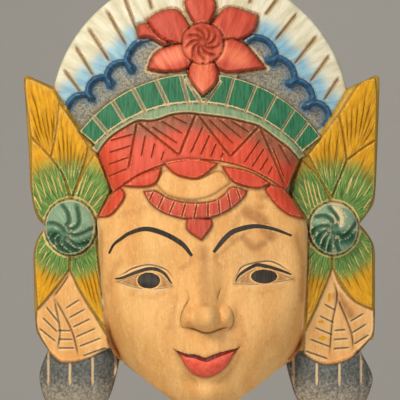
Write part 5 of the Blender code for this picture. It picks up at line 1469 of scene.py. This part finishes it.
@dataclass
class Face:
    """The bare face with its carved eyes and nose, its painted brows, eyes and lips.

    Attributes:
        brow: width of a brow where it is broadest.
        lid_line: width of the black line on a lid.
        ring: width of the pale ring cut round a pupil.
    """
    brow: float = 2.8
    lid_line: float = 2.0
    ring: float = 0.75

    def eyes(self) -> list[Shape]:
        """Both eyes: the lid's crease, the ball, the pupil in its ring and the lid's line."""
        made: list[Shape] = []
        for eye in EYES:
            width, height = eye.pupil
            made += [Groove(curve(eye.crease), width=1.5, depth=0.9, wear=0.9, dirt_and_shade=0.8, taper=0.2),
                     Groove(curve(eye.low), width=1.2, depth=0.4, wear=0.9, taper=0.2),
                     Boss(outline(eye.lid, eye.low), Coat.EYE, rise=-1.0, bevel=0.7, crown=1.2,
                          crown_width=4.5, wear=0.8, dirt_and_shade=0.5),
                     Patch(ellipse(eye.middle, width + self.ring, height + self.ring), Coat.BARE),
                     Patch(ellipse(eye.middle, width, height), Coat.BLACK),
                     Stroke(curve(eye.line), Coat.BLACK, width=self.lid_line)]
        return made

    def mouth(self) -> list[Shape]:
        """The lips, the upper one painted dark red as shade because it faces down, and the cuts at the
        corners.
        """
        made: list[Shape] = [Boss(outline(*LIPS), Coat.LIP, rise=-0.4, bevel=0.9, crown=3.4,
                                  crown_width=7.0, wear=0.0),
                             Stroke(curve(SHADED_UPPER_LIP), Coat.SHADED_UPPER_LIP, width=2.3)]
        made += [Groove(curve(line), width=1.3, depth=0.6, wear=0.0, dirt_and_shade=0.9) for line in MOUTH_CORNERS]
        return made

    def shapes(self) -> list[Shape]:
        """Its shapes, in the order they are cut."""
        made: list[Shape] = [Level(HEAD, Coat.BARE, surface=face_level, dirt_and_shade=0.45)] + NOSE.guides()
        made += [Groove(curve(line), width=1.5, depth=0.8, wear=0.3, dirt_and_shade=0.65, taper=0.3)
                 for line in NOSE_CUTS]
        # The cut under the nose is painted dark as the nose's shadow.
        made.append(Groove(NOSE.lower_cut(), depth=0.6, wear=0.0, dirt_and_shade=0.95, taper=0.2))
        made += self.eyes()
        # Brown on the bare face: real stains, and painted shade on its edges, in the sockets and beside the
        # nose.
        made += [StainAndShade(curve(line), dirt_and_shade=dark, reach=reach) for line, reach, dark in STAINS_AND_SHADE]
        made += [Brow(curve(line), Coat.BLACK, width=self.brow, blunt_start=blunt) for line, blunt in BROWS]
        return made + self.mouth()


HEAD = head_outline()


# From the drawing to the mesh

# Shares of the hollow's outline at which the back has rows of points
HOLLOW_ROWS = (1.0, 0.97, 0.92, 0.85, 0.76, 0.6, 0.4)
# How many sides the nail hole has, and its width at the bottom as a share of that at the top
NAIL_HOLE_SIDES, NAIL_HOLE_FOOT = 20, 0.97


class Net:
    """Points and edges of the flat drawing. Points that nearly meet are one."""

    def __init__(self, snap: float) -> None:
        """Start empty.

        Args:
            snap: points closer than this are one.
        """
        self.snap = snap
        self.points: list[Point] = []
        self.edges: set[tuple[int, int]] = set()
        self.cells: dict[tuple[int, int], list[int]] = {}

    def nearby(self, point: Point, reach: float) -> list[tuple[float, int]]:
        """Distances and numbers of the points within a reach."""
        cu, cv = (math.floor(c / self.snap) for c in point)
        span = math.ceil(reach / self.snap)
        found = []
        for i in range(cu - span, cu + span + 1):
            for j in range(cv - span, cv + span + 1):
                for number in self.cells.get((i, j), ()):
                    gap = math.dist(self.points[number], point)
                    if gap < reach:
                        found.append((gap, number))
        return found

    def add(self, point: Point) -> int:
        """Number of the point that stands for a place."""
        close = min(self.nearby(point, self.snap), default=None)
        return close[1] if close else self.put(point)

    def put(self, point: Point) -> int:
        """Number of a new point, however close to others."""
        self.points.append((float(point[0]), float(point[1])))
        self.cells.setdefault(tuple(math.floor(c / self.snap) for c in point),
                              []).append(len(self.points) - 1)
        return len(self.points) - 1

    def add_row(self, row: np.ndarray, closed: bool) -> None:
        """A line of points, each joined to the next."""
        if len(row) < 2:
            return
        numbers = [self.add(point) for point in row]
        follow = numbers[1:] + numbers[:1] if closed else numbers[1:]
        self.edges |= {(a, b) for a, b in zip(numbers, follow) if a != b}

    def fill(self, edge: np.ndarray, step: float, clear: float) -> None:
        """Evenly spread points inside an outline, away from those already there."""
        low, high = edge.min(0), edge.max(0)
        rows = np.arange(low[1], high[1], step * math.sqrt(0.75))
        grid = np.array([(u + (k % 2) * step / 2, v) for k, v in enumerate(rows)
                         for u in np.arange(low[0], high[0], step)])
        for point in grid[depth_inside(grid, edge) > clear]:
            if not self.nearby(point, clear):
                self.put(point)

    def triangles(self, edge: np.ndarray) -> tuple[np.ndarray, np.ndarray]:
        """The net's points and triangles inside an outline, without slivers on its rim."""
        made = delaunay_2d_cdt(self.points, list(self.edges), [], 0, 1e-4)
        points = np.array([tuple(p) for p in made[0]])
        faces = np.array(made[2])
        faces = faces[inside(points[faces].mean(1), edge)]
        a, b, c = (points[faces[:, k]] for k in range(3))
        sliver = np.abs((b - a)[:, 0] * (c - a)[:, 1] - (b - a)[:, 1] * (c - a)[:, 0]) < 1e-3
        rim = set(border(faces))
        for k in np.flatnonzero(sliver):
            sliver[k] = any(side in rim for side in edges_of(faces[k]))
        return points, faces[~sliver]


def edges_of(face: np.ndarray) -> tuple[tuple[int, int], ...]:
    """The three directed edges of a triangle."""
    a, b, c = (int(number) for number in face)
    return ((a, b), (b, c), (c, a))


def border(faces: np.ndarray) -> list[tuple[int, int]]:
    """Directed edges that only one triangle has."""
    seen = {side for face in faces for side in edges_of(face)}
    return [(a, b) for a, b in seen if (b, a) not in seen]


@dataclass
class Carving:
    """The carved block as one closed, painted mesh.

    Attributes:
        low, high: the corners of the block, in metres.
        wall: least wood between the front and the hollow.
        hollow_depth: how far the back is hollowed behind the face.
        hollow_rim: wood left flat on the back round the hollow.
        hollow_rounding: how softly the hollow turns in from its edge.
        nail_hole_width, nail_hole_depth: the blind hole in the back that a nail goes into.
        nail_hole_up: its height over the origin.
        shapes: what is cut, in order.
    """
    low: Vector
    high: Vector
    wall: float = 0.013
    hollow_depth: float = 0.030
    hollow_rim: float = 0.016
    hollow_rounding: float = 0.022
    nail_hole_width: float = 0.007
    nail_hole_depth: float = 0.012
    nail_hole_up: float = 0.025
    shapes: list[Shape] = field(default_factory=list)

    def front(self, points: np.ndarray) -> tuple[Relief, np.ndarray]:
        """Carve the front at some points and round its outer edge."""
        relief = Relief(points)
        for shape in self.shapes:
            shape.carve(relief)
        depth = np.clip(depth_inside(points, self.edge), 0, None)
        return relief, relief.height - EDGE_ROUNDING * (1 - quarter(depth / EDGE_ROUNDING))

    def coats(self, middles: np.ndarray) -> np.ndarray:
        """Which coat each face has, from the places of the faces' middles."""
        coat = np.full(len(middles), Coat.WHITE.value)
        for shape in self.shapes:
            if shape.coat is not None:
                low, high = shape.edge.min(0) - 2.0, shape.edge.max(0) + 2.0
                i = np.flatnonzero(np.all((middles > low) & (middles < high), axis=1))
                coat[i[shape.covers(middles[i])]] = shape.coat.value
        return coat

    def hollow(self) -> np.ndarray:
        """The outline of the hollow behind the face."""
        rim = self.hollow_rim / self.unit[0]
        low = FACE_MIDDLE_V - FACE_LENGTH_BELOW * 0.94 + rim
        return ellipse((FACE_U, (HOLLOW_TOP_V + low) / 2), FACE_HALF_WIDTH - rim, (HOLLOW_TOP_V - low) / 2)

    def place(self, points: np.ndarray, out: np.ndarray) -> np.ndarray:
        """Points of the drawing as places in metres."""
        left, low = self.edge.min(0)
        return np.stack([self.low.x + (points[:, 0] - left) * self.unit[0], -out * self.unit[2],
                         self.low.z + (points[:, 1] - low) * self.unit[1]], 1)

    def back(self, rim: list[tuple[int, int]],
             points: np.ndarray) -> tuple[np.ndarray, np.ndarray, np.ndarray, dict[int, int]]:
        """The back with its hollow and nail hole.

        Args:
            rim: the directed edges of the front's border.
            points: the front's points.

        Returns:
            The back's points, faces and depths, and its numbers for the front's border points.
        """
        hollow = self.hollow()
        net = Net(BACK_SNAP)
        numbers = {a: net.put(points[a]) for a, _ in rim}
        net.edges |= {(numbers[a], numbers[b]) for a, b in rim}
        for share in HOLLOW_ROWS:
            net.add_row(((hollow - hollow.mean(0)) * share + hollow.mean(0))[::3], True)
        left, low = self.edge.min(0)
        hole = (left - self.low.x / self.unit[0], low + (self.nail_hole_up - self.low.z) / self.unit[1])
        radius = self.nail_hole_width / 2 / self.unit[0]
        angle = np.arange(NAIL_HOLE_SIDES) * 2 * math.pi / NAIL_HOLE_SIDES
        circle = np.stack([np.cos(angle), np.sin(angle)], 1)
        for share in (1.0, NAIL_HOLE_FOOT):
            row = [net.put(point) for point in circle * radius * share + hole]
            net.edges |= set(zip(row, row[1:] + row[:1]))
        net.fill(self.edge, BACK_STEP, BACK_STEP / 2)
        back_points, back_faces = net.triangles(self.edge)
        inward = np.clip(depth_inside(back_points, hollow), 0, None)
        _, height = self.front(back_points)
        turned_in = quarter(inward * self.unit[0] / self.hollow_rounding)
        sunk = np.minimum(self.hollow_depth / self.unit[2] * turned_in, height - self.wall / self.unit[2])
        sunk = np.where(inward > 0, np.clip(sunk, 0, None), 0)
        bore = np.hypot(*(back_points - hole).T) < radius * (1 + NAIL_HOLE_FOOT) / 2
        sunk[bore] = self.nail_hole_depth / self.unit[2]
        return back_points, back_faces, sunk, numbers

    def build(self) -> bpy.types.Object:
        """Make the mesh with its coats and its wear.

        Returns:
            The new object, each face numbered by its coat, with no materials yet.
        """
        self.edge = whole_outline()
        net = Net(SNAP)
        net.add_row(self.edge, True)
        net.add_row(shrunk(self.edge, EDGE_ROUNDING), True)
        net.add_row(shrunk(self.edge, EDGE_ROUNDING * 0.4), True)
        for shape in self.shapes:
            for row, closed in shape.rows():
                net.add_row(row, closed)
        net.fill(self.edge, FILL_STEP, FILL_STEP * 0.6)
        points, faces = net.triangles(self.edge)
        LOG.info("front: %d points, %d faces", len(points), len(faces))
        relief, height = self.front(points)
        span = self.edge.max(0) - self.edge.min(0)
        self.unit = ((self.high.x - self.low.x) / span[0], (self.high.z - self.low.z) / span[1],
                     -self.low.y / height[np.unique(faces)].max())
        rim = border(faces)
        back_points, back_faces, sunk, numbers = self.back(rim, points)
        front_places, back_places = self.place(points, height), self.place(back_points, sunk)
        start = len(points)
        walls = []
        for a, b in rim:
            c, d = numbers[a] + start, numbers[b] + start
            walls += [(b, a, c), (b, c, d)]
        everything = np.concatenate([faces, back_faces[:, ::-1] + start, np.array(walls)])
        used, everything = np.unique(everything, return_inverse=True)
        everything = everything.reshape(-1, 3)
        places = np.concatenate([front_places, back_places])[used]
        mesh = bpy.data.meshes.new("mask carving")
        mesh.from_pydata(places.tolist(), [], everything.tolist())
        plain = np.full(len(back_faces) + len(walls), Coat.BACK.value)
        coat = np.concatenate([self.coats(points[faces].mean(1)), plain])
        mesh.polygons.foreach_set("material_index", coat.astype(np.int32))
        zeros = np.zeros(len(back_points))
        for name, values in (("wear", relief.wear), ("dirt_and_shade", relief.dirt_and_shade), ("tint", relief.tint)):
            layer = mesh.attributes.new(name, "FLOAT", "POINT")
            layer.data.foreach_set("value", np.concatenate([values, zeros])[used].astype(np.float32))
        layer = mesh.attributes.new("strokes", "FLOAT_VECTOR", "POINT")
        strokes = np.concatenate([relief.strokes(), np.zeros((len(back_points), 3))])[used]
        layer.data.foreach_set("vector", strokes.astype(np.float32).ravel())
        mesh.update()
        mask = bpy.data.objects.new("carved_mask", mesh)
        bpy.context.scene.collection.objects.link(mask)
        LOG.info("whole: %d triangles", len(mesh.polygons))
        return mask


# Paint and wood

def linear(colour: str) -> tuple[float, float, float, float]:
    """A #rrggbb colour as the linear values that a shader takes."""
    channels = [int(colour[k:k + 2], 16) / 255 for k in (1, 3, 5)]
    return (*[c / 12.92 if c <= 0.04045 else ((c + 0.055) / 1.055) ** 2.4 for c in channels], 1.0)


def per_mm(size: float) -> float:
    """Scale of a pattern whose marks are so many millimetres across."""
    return 1000.0 / size


def add(tree: bpy.types.NodeTree, kind: str, settings: Optional[dict] = None,
        inputs: Optional[dict] = None) -> bpy.types.Node:
    """Add a node.

    Args:
        tree: the node tree it goes in.
        kind: its type.
        settings: its properties by name.
        inputs: by socket, a value or the socket that is linked to it.

    Returns:
        The node.
    """
    made = tree.nodes.new(kind)
    for name, value in (settings or {}).items():
        setattr(made, name, value)
    for key, value in (inputs or {}).items():
        if isinstance(value, bpy.types.NodeSocket):
            tree.links.new(value, made.inputs[key])
        else:
            made.inputs[key].default_value = value
    return made


class Mixer:
    """Short ways to say what a finish is mixed from."""

    def __init__(self, tree: bpy.types.NodeTree) -> None:
        """Work in a node tree, in the object's own coordinates."""
        self.tree = tree
        self.place = add(tree, "ShaderNodeTexCoord").outputs["Object"]

    def layer(self, name: str, kind: str = "Fac") -> bpy.types.NodeSocket:
        """What the carving says at a place: its wear, grime, tint or the way of the strokes."""
        return add(self.tree, "ShaderNodeAttribute", {"attribute_name": name}).outputs[kind]

    def stretched(self, place: bpy.types.NodeSocket,
                  sizes: tuple[float, float, float]) -> bpy.types.NodeSocket:
        """Coordinates in which marks of so many millimetres each way are about 1 across."""
        scale = tuple(per_mm(size) for size in sizes)
        return add(self.tree, "ShaderNodeMapping", None, {"Vector": place, "Scale": scale}).outputs[0]

    def noise(self, place: bpy.types.NodeSocket, detail: float = 3.0, roughness: float = 0.55,
              distortion: float = 0.0) -> bpy.types.NodeSocket:
        """Cloudy noise about 0.5, its marks 1 across."""
        return add(self.tree, "ShaderNodeTexNoise", None,
                   {"Vector": place, "Scale": 1.0, "Detail": detail, "Roughness": roughness,
                    "Distortion": distortion}).outputs[0]

    def steps(self, value: bpy.types.NodeSocket, low: float, high: float, out_low: float = 0.0,
              out_high: float = 1.0) -> bpy.types.NodeSocket:
        """A value eased from one range to another and kept within it."""
        return add(self.tree, "ShaderNodeMapRange", {"interpolation_type": "SMOOTHSTEP"},
                   {"Value": value, "From Min": low, "From Max": high, "To Min": out_low,
                    "To Max": out_high}).outputs[0]

    def math(self, way: str, a: object, b: object) -> bpy.types.NodeSocket:
        """Arithmetic on two values."""
        return add(self.tree, "ShaderNodeMath", {"operation": way}, {0: a, 1: b}).outputs[0]

    def mix(self, share: object, a: object, b: object, way: str = "MIX") -> bpy.types.NodeSocket:
        """Two colours mixed, each a hex string or a socket."""
        sides = [linear(side) if isinstance(side, str) else side for side in (a, b)]
        return add(self.tree, "ShaderNodeMix", {"data_type": "RGBA", "blend_type": way,
                                                "clamp_result": True},
                   {0: share, 6: sides[0], 7: sides[1]}).outputs[2]


WOOD_LIGHT, WOOD_DARK = "#ecb872", "#dda15a"
# The darkest brown is dirt and painted shade in the cuts.
GRAIN_BROWN, HONEY_BROWN, SPECK_BROWN, DIRT_AND_SHADE = "#a8703a", "#c58a48", "#7d5228", "#453319"
FIBRE_YELLOW = "#fbd68e"
# Browns of the bare wood's stains and of the shade painted on the face.
STAIN_AND_SHADE_LIGHT, STAIN_AND_SHADE_DARK, CUT_WOOD = "#bf8448", "#93602e", "#fbe3b4"
# How shiny paint and wood are, and the bend at which the shading breaks
SHINE = 0.28
SHARP_BEND = math.radians(50)


@dataclass(frozen=True)
class Finish:
    """A coat on the wood and how it has aged.

    Attributes:
        name: what it is.
        light, dark: its colours, brushed together, or None for bare wood.
        rubbed: what shows where it is rubbed off.
        loss: how much of it is lost all over, 0 to 1.
        stroke: width of a brush stroke, in millimetres.
        roughness: how dull it is.
        far_light, far_dark: its colours where the tint is 1, or None.
        soft: whether the two colours fade into each other, or meet in streaks.
        stippled: whether it was dabbed on instead of brushed.
    """
    name: str
    light: Optional[str] = None
    dark: Optional[str] = None
    rubbed: str = "#e2bc80"
    loss: float = 0.2
    stroke: float = 1.3
    roughness: float = 0.55
    far_light: Optional[str] = None
    far_dark: Optional[str] = None
    soft: bool = False
    stippled: bool = False

    def wood(self, mixer: Mixer) -> bpy.types.NodeSocket:
        """Close-grained carving wood cut along the grain."""
        # The broad soft bands that run up and down the cheeks and the forehead
        bands = mixer.noise(mixer.stretched(mixer.place, (9.0, 14.0, 60.0)), 4.0, 0.6, 0.4)
        colour = mixer.mix(mixer.steps(bands, 0.32, 0.68), WOOD_LIGHT, WOOD_DARK)
        # The short brown lines of the vessels and the pale fibres between them
        lines = mixer.noise(mixer.stretched(mixer.place, (0.6, 0.9, 6.0)), 3.0, 0.7)
        colour = mixer.mix(mixer.steps(lines, 0.52, 0.76, 0.0, 0.36), colour, GRAIN_BROWN)
        fibres = mixer.noise(mixer.stretched(mixer.place, (0.8, 0.8, 2.4)), 3.0, 0.7)
        colour = mixer.mix(mixer.steps(fibres, 0.50, 0.72, 0.0, 0.45), colour, FIBRE_YELLOW)
        # Handling and old wax, browner in small clouds
        clouds = mixer.noise(mixer.stretched(mixer.place, (6.0, 7.0, 8.0)), 6.0, 0.68)
        colour = mixer.mix(mixer.steps(clouds, 0.50, 0.72, 0.0, 0.30), colour, HONEY_BROWN)
        # Specks
        specks = mixer.noise(mixer.stretched(mixer.place, (1.1, 1.1, 1.5)), 2.0, 0.5)
        return mixer.mix(mixer.steps(specks, 0.67, 0.75, 0.0, 0.38), colour, SPECK_BROWN)

    def coat(self, mixer: Mixer, strokes: bpy.types.NodeSocket,
             wood: bpy.types.NodeSocket) -> bpy.types.NodeSocket:
        """The paint before it wore, or the wood where there is none.

        Args:
            mixer: where its nodes go.
            strokes: how thick the brush laid the paint, 0 to 1.
            wood: the colour of the wood under it.

        Returns:
            The colour.
        """
        tint = mixer.layer("tint")
        if self.light is None:
            # On bare wood the tint is brown patches: real stains, and painted shade on the face.
            mottles = mixer.noise(mixer.stretched(mixer.place, (2.4, 2.4, 3.0)), 5.0, 0.7)
            stain_and_shade = mixer.mix(mixer.steps(mottles, 0.35, 0.65), STAIN_AND_SHADE_DARK, STAIN_AND_SHADE_LIGHT)
            edge = mixer.math("ADD", tint, mixer.math("MULTIPLY", mottles, 1.2))
            return mixer.mix(mixer.steps(edge, 0.70, 1.60, 0.0, 0.85), wood, stain_and_shade)
        colour = mixer.mix(mixer.steps(strokes, 0.30, 0.70), self.dark, self.light)
        if self.far_light is None:
            return colour
        far = mixer.mix(mixer.steps(strokes, 0.30, 0.70), self.far_dark, self.far_light)
        if self.soft:
            edge = mixer.math("ADD", tint, mixer.math("MULTIPLY", strokes, 0.4))
            return mixer.mix(mixer.steps(edge, 0.20, 1.10), colour, far)
        edge = mixer.math("ADD", tint, mixer.math("MULTIPLY", strokes, 0.9))
        return mixer.mix(mixer.steps(edge, 0.55, 1.35), colour, far)

    def material(self) -> bpy.types.Material:
        """The finish as a material."""
        made = bpy.data.materials.new(self.name)
        made.use_nodes = True
        tree = made.node_tree
        shader = tree.nodes["Principled BSDF"]
        mixer = Mixer(tree)
        wood = self.wood(mixer)
        if self.stippled:
            way = mixer.stretched(mixer.place, (self.stroke, self.stroke, self.stroke))
        else:
            way = mixer.stretched(mixer.layer("strokes", "Vector"), (self.stroke, self.stroke * 9, 1.0))
        strokes = mixer.noise(way, 4.0, 0.6)
        colour = self.coat(mixer, strokes, wood)
        flakes = mixer.noise(mixer.stretched(mixer.place, (1.3, 1.3, 1.3)), 5.0, 0.7)
        if self.light is None:
            # Fresh edges of a cut, where the knife went through the old wax
            colour = mixer.mix(mixer.steps(mixer.layer("wear"), 0.1, 1.0, 0.0, 0.8), colour, CUT_WOOD)
        else:
            # Rubbed edges and specks where the coat is gone
            gone = mixer.math("ADD", mixer.layer("wear"), mixer.math("MULTIPLY", flakes, 0.9))
            lost = mixer.steps(gone, 1.02 - 0.6 * self.loss, 1.32 - 0.6 * self.loss)
            colour = mixer.mix(lost, colour, mixer.mix(0.6, wood, self.rubbed))
        # Dirt, old wax and painted shade in the cuts and at the feet of raised shapes
        dirt_and_shade = mixer.math("MULTIPLY", mixer.layer("dirt_and_shade"), mixer.steps(flakes, 0.2, 0.6, 0.45, 0.9))
        colour = mixer.mix(dirt_and_shade, colour, DIRT_AND_SHADE)
        tree.links.new(colour, shader.inputs["Base Color"])
        shader.inputs["Roughness"].default_value = self.roughness
        shader.inputs["Specular IOR Level"].default_value = SHINE
        # The tool's facets and the brush leave the surface uneven
        uneven = mixer.noise(mixer.stretched(mixer.place, (1.6, 1.6, 3.0)), 5.0, 0.65)
        bump = add(tree, "ShaderNodeBump", None, {"Strength": 0.45, "Distance": 0.0006, "Height": uneven})
        tree.links.new(bump.outputs[0], shader.inputs["Normal"])
        return made


FINISHES = {
    Coat.BARE: Finish("waxed carving wood", roughness=0.5),
    Coat.RED: Finish("red oil paint on wood", "#d2583f", "#b03f2c", "#f2a284", loss=0.30,
                     far_light="#ee8460", far_dark="#d96543", soft=True, stroke=2.4, roughness=0.45),
    # The kerchief's red; its brown far colours are painted shadow at its top.
    Coat.CLOTH: Finish("red oil paint with painted shadow at the top", "#de5539", "#c64229", "#f2a47c", loss=0.40,
                       stroke=2.2, roughness=0.48, far_light="#a85c40", far_dark="#854d38", soft=True),
    Coat.GREEN: Finish("green oil paint on wood", "#3a8058", "#1c5c3e", "#d8d0a6", loss=0.35, stroke=1.2),
    Coat.PALE_GREEN: Finish("rubbed pale green paint", "#94a87e", "#6a8a66", "#ddd0a6", loss=0.55),
    Coat.WHITE: Finish("aged white paint", "#e8e4ca", "#cac3a0", "#b79c6c", loss=0.6, stroke=2.2,
                       far_light="#9ec6cf", far_dark="#6f9fb8", soft=True),
    Coat.BLUE: Finish("blue oil paint on wood", "#3f7aa0", "#1f4f74", "#8fb0b8", loss=0.4),
    Coat.GROUND: Finish("grey-blue paint over stippled wood", "#a6a28c", "#605f58", "#cabb98", loss=0.85,
                        stroke=1.1, far_light="#7d939c", far_dark="#4a6274", soft=True, stippled=True),
    Coat.LEAF: Finish("yellow and green paint, brushed wet", "#e9ad12", "#c08306", "#d8d488", loss=0.30,
                      stroke=0.9, far_light="#88aa4e", far_dark="#1c4f26"),
    Coat.BELL: Finish("black paint worn grey", "#74766e", "#454845", "#c6bb9e", loss=0.5, stroke=1.6,
                      far_light="#b0a48e", far_dark="#706a5e", soft=True, stippled=True),
    Coat.BLACK: Finish("black brush line", "#3f392f", "#28241e", "#7a6648", loss=0.0),
    Coat.LIP: Finish("red lip paint", "#f26a50", "#df4f39", "#f59a7c", loss=0.1, stroke=2.6, roughness=0.40,
                     stippled=True),
    # The upper lip's red, painted dark as shade.
    Coat.SHADED_UPPER_LIP: Finish("red lip paint in painted shade", "#7c2c1e", "#4e190f", "#7c2c1e", loss=0.0, roughness=0.45),
    Coat.EYE: Finish("tan eye paint", "#c6975f", "#a4733f", "#dcb078", loss=0.1),
    Coat.EDGE: Finish("yellow paint thinned over wood", "#d6a62c", "#ab862c", "#e8d6a6", loss=0.35),
    Coat.STRIP: Finish("strips worn to a mottled grey-green", "#bfb890", "#869070", "#e6dab0", loss=0.7,
                       stroke=0.9),
    # The dark far green is painted shade in the cuts, and the green of the dark lobes.
    Coat.ROSETTE: Finish("sea-green paint on wood", "#98b294", "#688f6c", "#dcdab4", loss=0.4, stroke=1.8,
                         far_light="#2a6b50", far_dark="#10432f", soft=True),
    Coat.BACK: Finish("bare back of the block", "#c8955a", "#a87440", "#c8955a", loss=0.0, roughness=0.75),
}


# The studio

@dataclass
class Studio:
    """A pale room with soft light, and the camera where the photographer stood.

    Attributes:
        distance: from the wall to the camera.
        picture_width: how many pixels wide the picture is.
        pixel: how wide a piece of the wall each of them shows.
        aim: what the middle of the picture looks at, across and up.
        floor_z, backdrop_y: how far under and behind the mask the room's sheets are.
        room_size: how wide each of them is.
    """
    distance: float = 1.0
    picture_width: int = 400
    pixel: float = 0.0005786
    aim: Point = (-0.0011, -0.054)
    floor_z: float = -0.45
    backdrop_y: float = 1.6
    room_size: float = 8.0

    def camera(self) -> None:
        """Set up the camera, straight on."""
        data = bpy.data.cameras.new("camera")
        data.sensor_width = 36.0
        data.lens = data.sensor_width * self.distance / (self.picture_width * self.pixel)
        data.clip_start = 0.01
        camera = bpy.data.objects.new("camera", data)
        camera.location = (self.aim[0], -self.distance, self.aim[1])
        camera.rotation_euler = (math.pi / 2, 0, 0)
        bpy.context.scene.collection.objects.link(camera)
        bpy.context.scene.camera = camera

    def light(self, name: str, place: tuple[float, float, float], size: float, power: float,
              colour: str) -> None:
        """A square lamp that faces the mask."""
        data = bpy.data.lights.new(name, "AREA")
        data.size = size
        data.energy = power
        data.color = linear(colour)[:3]
        lamp = bpy.data.objects.new(name, data)
        lamp.location = place
        way = Vector((self.aim[0], -0.02, self.aim[1])) - Vector(place)
        lamp.rotation_euler = way.to_track_quat("-Z", "Y").to_euler()
        bpy.context.scene.collection.objects.link(lamp)

    def lights(self) -> None:
        """A soft lamp above to the left and a weak one low on the right."""
        self.light("key light", (-0.55, -0.85, 0.60), size=0.40, power=10.8, colour="#fff4e6")
        self.light("fill light", (0.30, -1.15, -0.30), size=0.5, power=5.2, colour="#f6f6ff")
        world = bpy.data.worlds.new("soft room")
        world.use_nodes = True
        background = world.node_tree.nodes["Background"]
        background.inputs["Color"].default_value = linear("#eef0f2")
        background.inputs["Strength"].default_value = 0.33
        bpy.context.scene.world = world

    def room(self) -> None:
        """A pale plain floor and backdrop."""
        finish = bpy.data.materials.new("pale paper")
        finish.use_nodes = True
        shader = finish.node_tree.nodes["Principled BSDF"]
        shader.inputs["Base Color"].default_value = linear("#d9d6cf")
        shader.inputs["Roughness"].default_value = 0.9
        bpy.ops.mesh.primitive_plane_add(size=self.room_size, location=(0, 0, self.floor_z))
        floor = bpy.context.object
        floor.name = "floor"
        bpy.ops.mesh.primitive_plane_add(size=self.room_size, location=(0, self.backdrop_y, 0),
                                         rotation=(math.pi / 2, 0, 0))
        backdrop = bpy.context.object
        backdrop.name = "backdrop"
        for sheet in (floor, backdrop):
            sheet.data.materials.append(finish)

    def build(self) -> None:
        """Set up the whole studio."""
        self.camera()
        self.lights()
        self.room()
        bpy.context.scene.view_settings.view_transform = "Standard"


def main() -> None:
    """Carve, paint and light the mask."""
    logging.basicConfig(level=logging.INFO, format="%(name)s: %(message)s")
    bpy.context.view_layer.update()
    low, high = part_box("mask")
    parts = (Crown(), Wings(), Face(), Band(), Jewels(), Flower(), Rosettes())
    carving = Carving(low, high)
    for part in parts:
        made = part.shapes()
        carving.shapes += made
        LOG.info("%s: %d shapes", type(part).__name__.lower(), len(made))
    mask = carving.build()
    for coat in Coat:
        mask.data.materials.append(FINISHES[coat].material())
    mask.data.shade_smooth()
    mask.data.set_sharp_from_angle(angle=SHARP_BEND)
    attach(mask, "root")
    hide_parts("mask")
    Studio().build()


if __name__ == "__main__":
    main()
